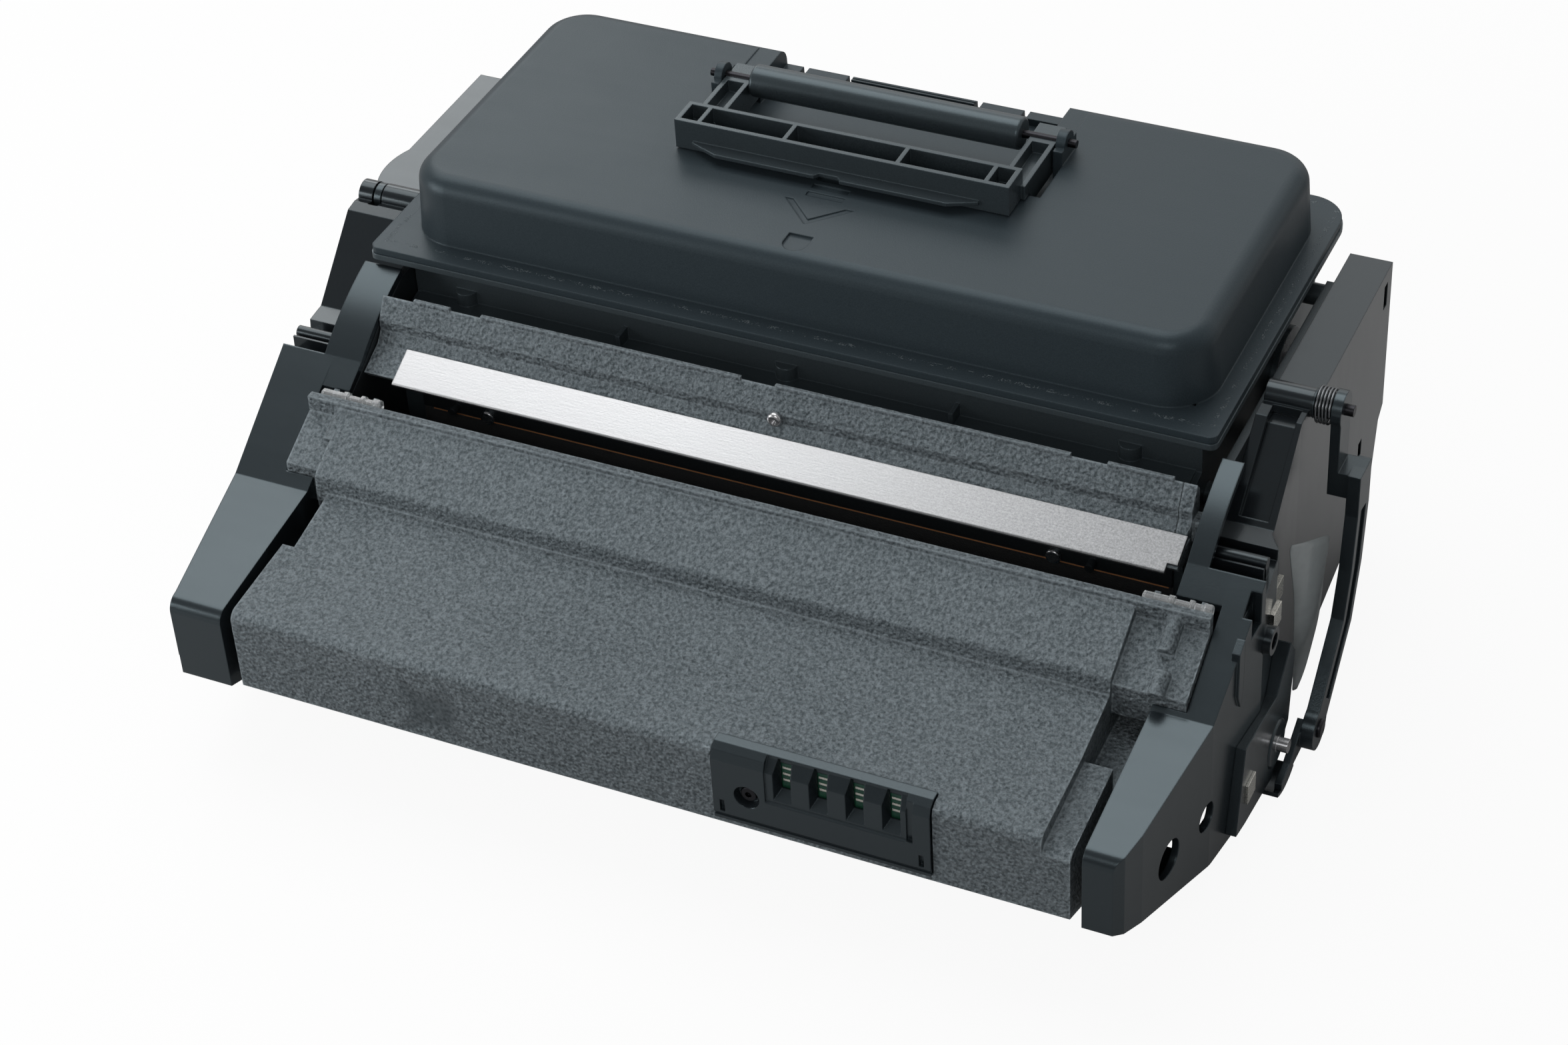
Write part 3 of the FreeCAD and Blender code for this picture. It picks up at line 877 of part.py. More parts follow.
def drum_gear():
    plug = rod(DRUM_Y, DRUM_Z, DRUM_RADIUS - 0.9, -ROLLER_HALF - 0, -ROLLER_HALF + 10)
    collar = rod(DRUM_Y, DRUM_Z, DRUM_RADIUS, -ROLLER_HALF - 3, -ROLLER_HALF)
    hub = rod(DRUM_Y, DRUM_Z, 6.0, GEAR_A_LEFT, -ROLLER_HALF)
    teeth = gear(DRUM_Y, DRUM_Z, DRUM_TEETH, GEAR_A_LEFT, GEAR_A_RIGHT, DRUM_TURN, 5.0)
    whole = joined(plug, collar, hub, teeth)
    return whole.cut(rod(DRUM_Y, DRUM_Z, SHAFT_RADIUS + RUNNING_FIT, GEAR_A_LEFT - 1, -ROLLER_HALF + 11))


def drum_flange():
    plug = rod(DRUM_Y, DRUM_Z, DRUM_RADIUS - 0.9, ROLLER_HALF - 10, ROLLER_HALF)
    collar = rod(DRUM_Y, DRUM_Z, DRUM_RADIUS, ROLLER_HALF, ROLLER_HALF + 3)
    hub = rod(DRUM_Y, DRUM_Z, 6.0, ROLLER_HALF, PLATE_RIGHT - SEAT_GAP)
    whole = joined(plug, collar, hub)
    return whole.cut(rod(DRUM_Y, DRUM_Z, SHAFT_RADIUS + RUNNING_FIT, ROLLER_HALF - 11, PLATE_RIGHT + 1))


def drum_shaft():
    thick = rod(DRUM_Y, DRUM_Z, SHAFT_RADIUS, LEFT - 27.5, KNOB_OUTER)
    return joined(thick, rod(DRUM_Y, DRUM_Z, PIN_END_RADIUS, KNOB_OUTER - 1, KNOB_OUTER + PIN_END_LENGTH))


def drum_bearing():
    knob = rod(DRUM_Y, DRUM_Z, 9.0, RIGHT_OUTSIDE, KNOB_OUTER)
    knob = rounded(knob, 1.2, lambda p: near(p.x, KNOB_OUTER))
    return knob.cut(rod(DRUM_Y, DRUM_Z, SHAFT_RADIUS, RIGHT_OUTSIDE - 1, KNOB_OUTER + 1))


def roller_shaft(y, z, x0, x1):
    return rod(y, z, SHAFT_RADIUS, x0, x1)


def roller_sleeve(y, z, radius, half, bore):
    return rod(y, z, radius, -half, half).cut(rod(y, z, bore, -half - 1, half + 1))


def idler_gear():
    wheel = gear(IDLER_Y, IDLER_Z, IDLER_TEETH, GEAR_B_LEFT, GEAR_A_RIGHT, IDLER_TURN, 2.0 + RUNNING_FIT)
    return wheel


def idler_pin():
    return rod(IDLER_Y, IDLER_Z, 2.0, TRAIN_LEFT, PLATE_LEFT)


def drive_gear():
    wheel = gear(DRIVE_Y, DRIVE_Z, DRIVE_TEETH, GEAR_A_LEFT, GEAR_A_RIGHT, DRIVE_TURN, 3.0)
    hub = rod(DRIVE_Y, DRIVE_Z, 4.0, LEFT - 24, PLATE_LEFT)
    claw = rod(DRIVE_Y, DRIVE_Z, 8.0, LEFT - 26.2, LEFT - 22.2)
    slots = [block(LEFT - 27, LEFT - 23.8, DRIVE_Y - 9, DRIVE_Y + 9, DRIVE_Z - 1.6, DRIVE_Z + 1.6),
             rod(DRIVE_Y, DRIVE_Z, 4.2, LEFT - 27, LEFT - 23.8)]
    return joined(wheel, hub, claw).cut(slots)


def agitator_paddle():
    bar = block(LEFT + 8, RIGHT - 18.5, AGITATOR_Y - 2.2, AGITATOR_Y + 2.2, AGITATOR_Z + 3.2, AGITATOR_Z + 4.4)
    film = block(LEFT + 8, RIGHT - 18.5, AGITATOR_Y - 0.3, AGITATOR_Y + 0.3, AGITATOR_Z + 4.4, AGITATOR_Z + 38)
    seats = [block(x - 2, x + 2, AGITATOR_Y - 2.2, AGITATOR_Y + 2.2, AGITATOR_Z, AGITATOR_Z + 4)
             for x in (LEFT + 14, -70, 0, 66, RIGHT - 22.5)]
    return joined(bar, film, *seats).cut(rod(AGITATOR_Y, AGITATOR_Z, SHAFT_RADIUS, LEFT + 4, RIGHT - 9.5))


def agitator_shaft():
    return rod(AGITATOR_Y, AGITATOR_Z, SHAFT_RADIUS, GEAR_A_LEFT - 2, HOPPER_RIGHT - WALL - 1)


def waste_auger():
    core = rod(AUGER_Y, AUGER_Z, 2.0, GEAR_A_LEFT - 1, WASTE_RIGHT - 1.2)
    flights = []
    count = 13
    first = WASTE_LEFT + 22.3
    last = WASTE_RIGHT - 24.5
    for number in range(count):
        x = first + (last - first) * number / (count - 1)
        flights.append(Part.makeCylinder(5.5, 1.2, Vector(x, AUGER_Y, AUGER_Z), Vector(1, 0.35, 0)))
    wheel = gear(AUGER_Y, AUGER_Z, AUGER_TEETH, GEAR_A_LEFT, GEAR_A_RIGHT, AUGER_TURN, 1.0)
    return joined(core, wheel, *flights)


def cleaning_bracket():
    sheet = block(LEFT + 14, RIGHT - 16.5, BASE_LIP_Y - 3.5, BASE_LIP_Y + 1.2, 22.0, 23.6)
    return sheet.cut(prism(waste_outline(), LEFT + 13, RIGHT - 15.5))


def cleaning_blade():
    reach = DRUM_Y - math.sqrt(DRUM_RADIUS ** 2 - 1.5 ** 2) - SOFT_GAP
    return prism([(BASE_LIP_Y + 1.2, 21.9), (BASE_LIP_Y + 1.2, 23.6), (reach - 0.1, 22.2), (reach - 0.1, 20.8)],
                 LEFT + 16, RIGHT - 18.5)


def charge_shaft():
    return rod(CHARGE_Y, CHARGE_Z, 2.5, PLATE_OUTSIDE, RIGHT_OUTSIDE)


def shutter_section(start_angle, end_angle, x0, x1, lip):
    """A length of the curved drum shutter between two angles around the drum."""
    inner = DRUM_RADIUS + SHUTTER_GAP
    outer = inner + SHUTTER_THICKNESS
    rings = []
    for radius in (outer, inner):
        spots = [polar(DRUM_Y, DRUM_Z, radius, a) for a in (start_angle, (start_angle + end_angle) / 2, end_angle)]
        rings.append([Vector(x0, y, z) for y, z in spots])
    far, close = rings
    across = (far[0] - close[0]).normalize()
    along = Vector(0, -across.z, across.y) if lip else Vector(0, 0, 0)
    tip_far = far[0] + along * -lip
    tip_close = close[0] + along * -lip
    edges = [Part.Arc(*far).toShape(), Part.LineSegment(far[2], close[2]).toShape(),
             Part.Arc(close[2], close[1], close[0]).toShape()]
    if lip:
        edges += [Part.LineSegment(close[0], tip_close).toShape(), Part.LineSegment(tip_close, tip_far).toShape(),
                  Part.LineSegment(tip_far, far[0]).toShape()]
    else:
        edges.append(Part.LineSegment(close[0], far[0]).toShape())
    return Part.Face(Part.Wire(edges)).extrude(Vector(x1 - x0, 0, 0))


def shutter():
    """The curved plate under the drum, with a tongue at each end for the arms."""
    plate = shutter_section(219, 298, -SHUTTER_HALF, SHUTTER_HALF, 4.5)
    tongue = shutter_section(243, 298, LEFT_ARM_OUTER, LEVER_X, 0)
    return joined(plate, tongue)


def bar_outline(points, width):
    """An even-width outline along a bent centre line of (y, z) points."""
    left, right = [], []
    for number, (y, z) in enumerate(points):
        before = points[max(number - 1, 0)]
        after = points[min(number + 1, len(points) - 1)]
        run = math.hypot(after[0] - before[0], after[1] - before[1])
        side_y = -(after[1] - before[1]) / run * width / 2
        side_z = (after[0] - before[0]) / run * width / 2
        left.append((y + side_y, z + side_z))
        right.append((y - side_y, z - side_z))
    return left + right[::-1]


def shutter_lever():
    """The bent lever outside the right cover, from the pivot down to the shutter's tongue."""
    hub_end = LEVER_HUB_X + LEVER_HUB_THICKNESS
    hub = rod(PIVOT_Y, PIVOT_Z, 6.5, LEVER_HUB_X, hub_end)
    upper = prism(bar_outline([(PIVOT_Y, PIVOT_Z), (PIVOT_Y + 0.3, 86)], 11), LEVER_HUB_X, hub_end)
    joggle = prism(bar_outline([(PIVOT_Y + 0.2, 96), (PIVOT_Y + 0.3, 86)], 11), LEVER_HUB_X, LEVER_X + LEVER_THICKNESS)
    reach = [(PIVOT_Y + 0.3, 96), (PIVOT_Y, 79), (172, 57), (165, 38), (LEVER_END_Y, LEVER_END_Z)]
    lower = prism(bar_outline(reach, 12.5), LEVER_X, LEVER_X + LEVER_THICKNESS)
    end = rod(LEVER_END_Y, LEVER_END_Z, 8, LEVER_X, LEVER_X + LEVER_THICKNESS)
    foot = prism([(LEVER_END_Y + 3, LEVER_END_Z - 6.5), (LEVER_END_Y - 3, LEVER_END_Z + 5), (120, 8), (111.5, 6),
                  (111.5, 3.3), (116, 2.7), (120.5, 3.3), (124.3, 4.6)], LEVER_X - 2.5, LEVER_X)
    foot = foot.cut(shutter_section(243, 298, LEFT_ARM_OUTER, LEVER_X, 0))
    lever = joined(hub, upper, joggle, lower, end, foot)
    groove = prism(bar_outline([(PIVOT_Y, 80), (172, 57), (165, 38), (146, 18)], 6.0),
                   LEVER_X + LEVER_THICKNESS - 1.4, LEVER_X + LEVER_THICKNESS + 1)
    return lever.cut([rod(PIVOT_Y, PIVOT_Z, PIVOT_PIN_RADIUS + RUNNING_FIT, LEVER_HUB_X - 1, hub_end + 1), groove])


def shutter_arm():
    """The straight arm inside the left cover."""
    x1 = LEFT_ARM_OUTER + LEFT_ARM_THICKNESS
    hub = rod(PIVOT_Y, PIVOT_Z, 4.8, LEFT_ARM_OUTER, x1)
    link = prism(bar_outline([(PIVOT_Y, PIVOT_Z), (134, 26), (122, 5.6)], 8), LEFT_ARM_OUTER, x1)
    arm = joined(hub, link).cut(shutter_section(243, 298, LEFT_ARM_OUTER, LEVER_X, 0))
    arm = arm.cut(block(LEFT - 36, LEFT - 26, 100, 140, -5, 2.0))
    return arm.cut(rod(PIVOT_Y, PIVOT_Z, PIVOT_PIN_RADIUS + RUNNING_FIT, LEFT - 36, LEFT - 26))


def lever_pin():
    pin = rod(LEVER_END_Y, LEVER_END_Z, 3.4, LEVER_X + LEVER_THICKNESS, LEVER_X + LEVER_THICKNESS + 1.2)
    return rounded(pin, 0.8, lambda p: near(p.x, LEVER_X + LEVER_THICKNESS + 1.2))


def pivot_pin(x0, x1):
    return rod(PIVOT_Y, PIVOT_Z, PIVOT_PIN_RADIUS, x0, x1)


def torsion_spring():
    """Five turns of wire around the right pivot, with a leg for the cover and one for the lever."""
    turns = [rod(PIVOT_Y, PIVOT_Z, 6.6, x, x + 0.9).cut(rod(PIVOT_Y, PIVOT_Z, 5.6, x - 1, x + 2))
             for x in (RIGHT + 20.1, RIGHT + 21.35, RIGHT + 22.6, RIGHT + 23.85, RIGHT + 25.1)]
    core = rod(PIVOT_Y, PIVOT_Z, 4.2, RIGHT + 19.5, RIGHT + 26.2).cut(rod(PIVOT_Y, PIVOT_Z, PIVOT_PIN_RADIUS, RIGHT + 15.5, RIGHT + 35.5))
    spoke = block(RIGHT + 20.3, RIGHT + 25.8, PIVOT_Y + 3.6, PIVOT_Y + 6.1, PIVOT_Z - 0.5, PIVOT_Z + 0.5)
    back_leg = prism(bar_outline([(PIVOT_Y + 1, PIVOT_Z - 6.0), (PIVOT_Y + 20, PIVOT_Z - 8.0)], 0.7), RIGHT + 20.25, RIGHT + 20.85)
    lever_leg = prism(bar_outline([(PIVOT_Y - 6.0, PIVOT_Z + 1), (PIVOT_Y - 4.2, PIVOT_Z - 22)], 0.7), RIGHT + 25.2, RIGHT + 25.8)
    return joined(core, spoke, back_leg, lever_leg, *turns)


def drum_end_plate():
    outline = [(75, 13), (82, 46), (100, 44), (114, 42), (128, 55), (133, 48), (129, 20), (112, 7), (84, 11)]
    plate = prism(outline, RIGHT + 22.5, RIGHT + 29.5)
    cap_line = slab([(RIGHT - 4.5, 0), (RIGHT - 4.5, 140), (RIGHT + 19.5, 140), (RIGHT + 19.8, 132), (RIGHT + 24, 126), (RIGHT + 26.7, 104.8), (RIGHT + 26.9, 104.5),
                     (RIGHT + 25.1, 60), (RIGHT + 22.5, 0)], 0, 130)
    return plate.cut([cap_line, rod(DRUM_Y, DRUM_Z, 9.1, RIGHT - 4.5, RIGHT + 35.5)])


def contact_pads():
    """Three bright contacts on the right side."""
    first = block(RIGHT + 29.5, RIGHT + 30.5, 83, 91, 21, 29)
    second = block(RIGHT + 19.7, RIGHT + 21.5, 134, 142, 63, 71)
    third = block(RIGHT + 25.1, RIGHT + 26.9, 115, 123, 68.5, 76.5)
    cover = slab([(RIGHT - 4.5, 104.8), (RIGHT + 26.7, 104.8), (RIGHT + 24, 126), (RIGHT + 19.8, 132), (RIGHT + 19, 162), (RIGHT - 4.5, 162)], 0, 130)
    return Part.makeCompound([first, second.cut(cover), third.cut(cover)])


def guard_sheet():
    """The thin bowed guard on the right cover, behind the lever."""
    bow = [(RIGHT + 19.7, 134), (RIGHT + 23, 137), (RIGHT + 26.3, 143), (RIGHT + 27.9, 151), (RIGHT + 26.5, 160), (RIGHT + 23, 167), (RIGHT + 19.4, 171)]
    back = [(x - 0.9, y) for x, y in bow[1:-1]]
    sheet = slab(bow + back[::-1], 14, 82)
    side = prism([(130, 30), (134, 60), (146, 82), (170, 82), (172, 40), (160, 14), (144, 14)], RIGHT + 15.5, RIGHT + 35.5)
    cover = slab([(RIGHT - 4.5, 104.8), (RIGHT + 26.7, 104.8), (RIGHT + 24, 126), (RIGHT + 19.8, 132), (RIGHT + 19, 162), (RIGHT + 18.5, 268), (RIGHT - 4.5, 268)],
                 0, 130)
    contact_way = block(RIGHT + 15.5, RIGHT + 35.5, 130, 143, 61.5, 72.5)
    return sheet.common(side).cut([cover, contact_way])


def fill_cap():
    """The round stopper in the hopper's end wall."""
    plug = rod(FILL_Y, FILL_Z, FILL_RADIUS - RUNNING_FIT, HOPPER_RIGHT - WALL, HOPPER_RIGHT)
    head = rod(FILL_Y, FILL_Z, FILL_RADIUS + 3, HOPPER_RIGHT, HOPPER_RIGHT + 2)
    grip = block(HOPPER_RIGHT + 2, HOPPER_RIGHT + 5, FILL_Y - 10, FILL_Y + 10, FILL_Z - 1, FILL_Z + 1)
    return joined(plug, head, grip)


BUILDERS = {
    "front_housing": front_housing,
    "left_bearing_plate": left_bearing_plate,
    "right_bearing_plate": right_bearing_plate,
    "left_end_cap": left_end_cap,
    "right_end_cap": right_end_cap,
    "left_rear_cover": left_rear_cover,
    "right_rear_cover": right_rear_cover,
    "hopper_body": hopper_body,
    "hopper_lid": hopper_lid,
    "handle_frame": handle_frame,
    "grip_bar": grip_bar,
    "handle_pin": handle_pin,
    "frame_beam": frame_beam,
    "bright_plate": bright_plate,
    "plate_screw": plate_screw,
    "doctor_bracket": doctor_bracket,
    "doctor_blade": doctor_blade,
    "blade_seal": blade_seal,
    "bracket_screws": bracket_screws,
    "light_guide_left": lambda: light_guide(ROD_LEFT_START),
    "light_guide_right": lambda: light_guide(ROD_RIGHT_START),
    "chip_holder": chip_holder,
    "chip_board": chip_board,
    "chip_contacts": chip_contacts,
    "chip_screw": chip_screw,
    "drum_tube": drum_tube,
    "drum_gear": drum_gear,
    "drum_flange": drum_flange,
    "drum_shaft": drum_shaft,
    "drum_bearing": drum_bearing,
    "developer_shaft": lambda: roller_shaft(DEVELOPER_Y, DEVELOPER_Z, GEAR_A_LEFT - 1, RIGHT_OUTSIDE),
    "developer_sleeve": lambda: roller_sleeve(DEVELOPER_Y, DEVELOPER_Z, DEVELOPER_RADIUS, ROLLER_HALF, SHAFT_RADIUS),
    "developer_gear": lambda: gear(DEVELOPER_Y, DEVELOPER_Z, DEVELOPER_TEETH, GEAR_A_LEFT, GEAR_A_RIGHT,
                                   DEVELOPER_TURN, SHAFT_RADIUS),
    "supply_shaft": lambda: roller_shaft(SUPPLY_Y, SUPPLY_Z, GEAR_B_LEFT - 1, RIGHT_OUTSIDE),
    "supply_sleeve": lambda: roller_sleeve(SUPPLY_Y, SUPPLY_Z, SUPPLY_RADIUS, ROLLER_HALF - 2, SHAFT_RADIUS),
    "supply_gear": lambda: gear(SUPPLY_Y, SUPPLY_Z, SUPPLY_TEETH, GEAR_B_LEFT, GEAR_B_RIGHT, SUPPLY_TURN,
                                SHAFT_RADIUS),
    "idler_gear": idler_gear,
    "idler_pin": idler_pin,
    "drive_gear": drive_gear,
    "agitator_shaft": agitator_shaft,
    "agitator_paddle": agitator_paddle,
    "agitator_gear": lambda: gear(AGITATOR_Y, AGITATOR_Z, AGITATOR_TEETH, GEAR_A_LEFT, GEAR_A_RIGHT, AGITATOR_TURN,
                                  SHAFT_RADIUS),
    "charge_shaft": charge_shaft,
    "charge_sleeve": lambda: roller_sleeve(CHARGE_Y, CHARGE_Z, CHARGE_RADIUS, ROLLER_HALF - 3, 2.5),
    "cleaning_bracket": cleaning_bracket,
    "cleaning_blade": cleaning_blade,
    "waste_auger": waste_auger,
    "auger_idler": lambda: gear(AUGER_IDLER_Y, AUGER_IDLER_Z, AUGER_IDLER_TEETH, GEAR_A_LEFT, GEAR_A_RIGHT,
                                AUGER_IDLER_TURN, 2.0 + RUNNING_FIT),
    "auger_idler_pin": lambda: rod(AUGER_IDLER_Y, AUGER_IDLER_Z, 2.0, GEAR_A_LEFT - 1, WASTE_LEFT),
    "shutter": shutter,
    "shutter_lever": shutter_lever,
    "shutter_arm": shutter_arm,
    "lever_pin": lever_pin,
    "pivot_pins": lambda: Part.makeCompound([pivot_pin(LEFT - 35, FLANGE_LEFT - 1), pivot_pin(RIGHT_OUTSIDE, RIGHT + 32.9)]),
    "torsion_spring": torsion_spring,
    "drum_end_plate": drum_end_plate,
    "contact_pads": contact_pads,
    "guard_sheet": guard_sheet,
    "fill_cap": fill_cap,
}


def main():
    os.makedirs("parts", exist_ok=True)
    shapes = {name: build() for name, build in BUILDERS.items()}
    whole = Part.makeCompound(list(shapes.values())).BoundBox
    origin = Vector(-whole.Center.x, -whole.Center.y, -whole.ZMin)
    print("move to the middle of the footprint", origin)
    for name, shape in shapes.items():
        shape.translate(origin)
        shape.exportStep("parts/" + name + ".step")
        print(name, "solids", len(shape.Solids), "volume", round(shape.Volume), "valid", shape.isValid())


main()
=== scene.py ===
import json
import math

import bmesh
import bpy
from mathutils import Matrix, Vector

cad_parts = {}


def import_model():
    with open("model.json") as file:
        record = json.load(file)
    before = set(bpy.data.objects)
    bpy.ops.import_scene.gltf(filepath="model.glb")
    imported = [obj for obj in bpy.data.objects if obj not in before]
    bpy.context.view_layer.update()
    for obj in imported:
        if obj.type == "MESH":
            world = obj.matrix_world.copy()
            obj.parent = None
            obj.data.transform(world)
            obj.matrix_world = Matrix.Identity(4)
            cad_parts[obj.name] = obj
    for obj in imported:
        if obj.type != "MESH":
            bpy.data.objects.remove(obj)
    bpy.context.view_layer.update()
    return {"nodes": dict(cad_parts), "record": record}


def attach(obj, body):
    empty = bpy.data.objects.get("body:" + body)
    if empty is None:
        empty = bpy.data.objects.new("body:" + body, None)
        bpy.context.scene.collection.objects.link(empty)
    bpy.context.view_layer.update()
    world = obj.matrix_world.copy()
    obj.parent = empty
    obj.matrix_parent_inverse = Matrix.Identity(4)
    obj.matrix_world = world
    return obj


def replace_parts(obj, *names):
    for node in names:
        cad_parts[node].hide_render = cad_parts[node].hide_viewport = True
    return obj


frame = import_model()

NODES = frame["nodes"]
MM = 0.001

# The camera of the photograph, solved from its straight edges
CAMERA_PLACE = Vector((0.42716, -0.86086, 0.81790))
CAMERA_RIGHT = Vector((0.9084, 0.4152, -0.0496))
CAMERA_UP = Vector((-0.2260, 0.5874, 0.7771))
CAMERA_BACK = Vector((0.3518, -0.6946, 0.6275))
CAMERA_LENS = 79.47
SENSOR_WIDTH = 36

# The lamps: name, place, target and size in metres, power in watts
LAMPS = [
    ("top_softbox", (-0.7, 0.5, 1.65), (-0.7, 0.5, 0.0), (1.7, 1.3), 16),
    ("back_softbox", (-0.4, 1.9, 1.2), (0, 0, 0.1), (2.4, 0.9), 4),
    ("left_back_card", (-1.5, 1.9, 1.5), (0, 0, 0.1), (0.8, 0.8), 4),
    ("left_card", (-0.8, -0.6, 0.3), (-0.15, -0.14, 0.04), (0.5, 0.4), 3.5),
    ("front_fill", (0.3, -1.6, 1.2), (0, 0.1, 0.1), (0.9, 0.6), 6),
]

# How bright the room is on matt surfaces, and mirrored from the front and from behind
ROOM_ON_MATT = 0.27
ROOM_IN_FRONT = 0.16
ROOM_BEHIND = 0.62

# The floor's grey under the object, its grey to the camera, and how much of that glows
FLOOR_REACH = 4
FLOOR_GREY = 0.45
FLOOR_SEEN = 0.95
FLOOR_GLOW = 0.92

# The lid's flange, its raised part and the weld in the groove round that
FLANGE_TOP = 0.125
HUMP_CENTRE = (-0.0062, 0.0705)
HUMP_HALF = (0.151, 0.0647)
WELD_DISTANCE = 0.0042
WELD_HALF_WIDTH = 0.0009
WELD_COLOUR = (0.13, 0.15, 0.16)
WELD_SHARE = 0.7
WELD_HEIGHT = 6.0

# The smooth patch of the front wall in X and Z, and its ragged rim
GATE_CENTRE = (-0.0733, 0.046)
GATE_HALF = (0.0125, 0.011)
GATE_WAVE = 0.012
GATE_DARKNESS = 0.55
GATE_POLISH = 0.12

# The shutter's right pivot, its wound spring and the hub inside it
PIVOT = Vector((0.1743, 0.0343, 0.1188))
PIN_RADIUS = 0.002
SPRING_RADIUS = 0.0061
SPRING_WIRE = 0.00045
SPRING_LENGTH = 0.0056
SPRING_TURNS = 4.75
SPRING_GAP = 0.0008
SPRING_FIRST_END = (0.0, 0.019, -0.008)
SPRING_LAST_END = (SPRING_LENGTH, SPRING_RADIUS - 0.001, -0.02)
HUB_PROFILE = [(0.0, PIN_RADIUS), (0.0, 0.0052), (0.0006, 0.0052), (0.0008, 0.0044), (0.0062, 0.0044),
               (0.0066, 0.0040), (0.0066, PIN_RADIUS)]

# The film's two edges from its top to its tip: X, Y and Z in millimetres
FILM_LEFT = [(176.3, 4.6, 80.5), (176.8, 9.0, 64), (177.0, 12.4, 50), (177.1, 12.8, 41), (177.4, 12.6, 29),
             (177.8, 13.0, 18), (178.2, 11.5, 11)]
FILM_RIGHT = [(184.4, 27.5, 70.5), (183.4, 24.4, 57), (183.2, 24.4, 45), (183.0, 22.4, 36), (182.4, 19.0, 29),
              (181.2, 15.8, 17.5), (179.4, 13.5, 10.5)]
FILM_BULGE = [0.4, 1.6, 2.0, 1.6, 1.2, 0.6, 0.2]
FILM_CURL = 0.6
FILM_COLUMNS = 9
FILM_THICKNESS = 0.0003

# The light guides: left ends, and each section's distance, half height and half depth in millimetres
GUIDE_STARTS = {"light_guide_left": -0.1617, "light_guide_right": 0.1451}
GUIDE_CENTRE = (-0.0516, 0.0935)
GUIDE_SECTIONS = [(0.0, 1.6, 1.6), (0.4, 2.0, 2.0), (8.6, 2.0, 2.0), (8.8, 2.5, 2.5), (10.6, 2.5, 2.5),
                  (10.8, 1.7, 1.7), (15.6, 1.7, 1.7), (15.8, 2.5, 2.5), (17.2, 2.5, 2.5), (17.4, 1.9, 1.9),
                  (20.4, 1.9, 1.9), (20.6, 2.5, 2.5), (23.2, 2.5, 2.5), (23.6, 2.1, 2.1)]
GUIDE_CHAMFER = 0.55
GUIDE_SOFTNESS = 0.00012

# The cool cast of the black plastics' shine, and what all moulded pieces share, among it how far their
# corners are brightened as a painted highlight
PLASTIC_TINT = (0.74, 0.92, 1.0, 1.0)
SMEAR = 0.06
EDGE_HIGHLIGHT_LIFT = 3
EDGE_POLISH = 0.08
COAT_ROUGHNESS = 0.12
ACRYLIC_IOR = 1.49

# The bright plate's dark and light tones under its painted reflection at the left end and in painted shade,
# spangled, towards the right end, and its roughness
PLATE_REFLECTION_TONES = ((0.5, 0.505, 0.515, 1), (0.58, 0.585, 0.595, 1))
PLATE_SHADED_SPANGLE_TONES = ((0.05, 0.053, 0.056, 1), (0.5, 0.51, 0.52, 1))
PLATE_ROUGHNESS = 0.3
PLATE_DULLING = 0.12


def connect(tree, node, values, links):
    """Gives a node's sockets their values and the sockets that feed them."""
    for socket, value in (values or {}).items():
        node.inputs[socket].default_value = value
    for socket, source in (links or {}).items():
        tree.links.new(source, node.inputs[socket])
    return node


def add(tree, kind, values=None, links=None, family="ShaderNode", **settings):
    """A new node with its settings, values and links."""
    node = tree.nodes.new(family + kind)
    for label, value in settings.items():
        setattr(node, label, value)
    return connect(tree, node, values, links)


def calculate(tree, operation, first, second=None, third=None, clamp=False):
    """One Math node; each operand is a number or a socket."""
    node = add(tree, "Math", operation=operation, use_clamp=clamp)
    for socket, operand in zip(node.inputs, (first, second, third)):
        if isinstance(operand, (int, float)):
            socket.default_value = operand
        elif operand is not None:
            tree.links.new(operand, socket)
    return node.outputs[0]


def mix_colour(tree, factor, first, second):
    """One colour Mix node; the factor and the colours are values or sockets."""
    node = add(tree, "Mix", data_type="RGBA")
    for label, operand in (("Factor", factor), (6, first), (7, second)):
        if isinstance(operand, (int, float, tuple)):
            node.inputs[label].default_value = operand
        else:
            tree.links.new(operand, node.inputs[label])
    return node.outputs[2]


def new_group(name, inputs, outputs):
    """An empty shader node group with the named sockets."""
    group = bpy.data.node_groups.new(name, "ShaderNodeTree")
    for label, kind, value in inputs:
        socket = group.interface.new_socket(label, in_out="INPUT", socket_type="NodeSocket" + kind)
        if value is not None:
            socket.default_value = value
    for label, kind in outputs:
        group.interface.new_socket(label, in_out="OUTPUT", socket_type="NodeSocket" + kind)
    return group, group.nodes.new("NodeGroupInput"), group.nodes.new("NodeGroupOutput")


def use_group(tree, group, values=None, links=None):
    """Places a node group in a material."""
    node = tree.nodes.new("ShaderNodeGroup")
    node.node_tree = group
    return connect(tree, node, values, links)


def soft_edge_group():
    """Rounds sharp corners in the shading and says where they are."""
    group, enter, leave = new_group("soft_edge", [("Radius", "Float", 0.0006)],
                                    [("Normal", "Vector"), ("Edge", "Float")])
    bevel = add(group, "Bevel", samples=4, links={"Radius": enter.outputs["Radius"]})
    geometry = add(group, "NewGeometry")
    turn = add(group, "VectorMath", operation="DOT_PRODUCT",
               links={0: bevel.outputs["Normal"], 1: geometry.outputs["Normal"]})
    bend = calculate(group, "SUBTRACT", 1.0, turn.outputs["Value"])
    gain = 6.0
    edge = calculate(group, "MULTIPLY", bend, gain, clamp=True)
    group.links.new(bevel.outputs["Normal"], leave.inputs["Normal"])
    group.links.new(edge, leave.inputs["Edge"])
    return group


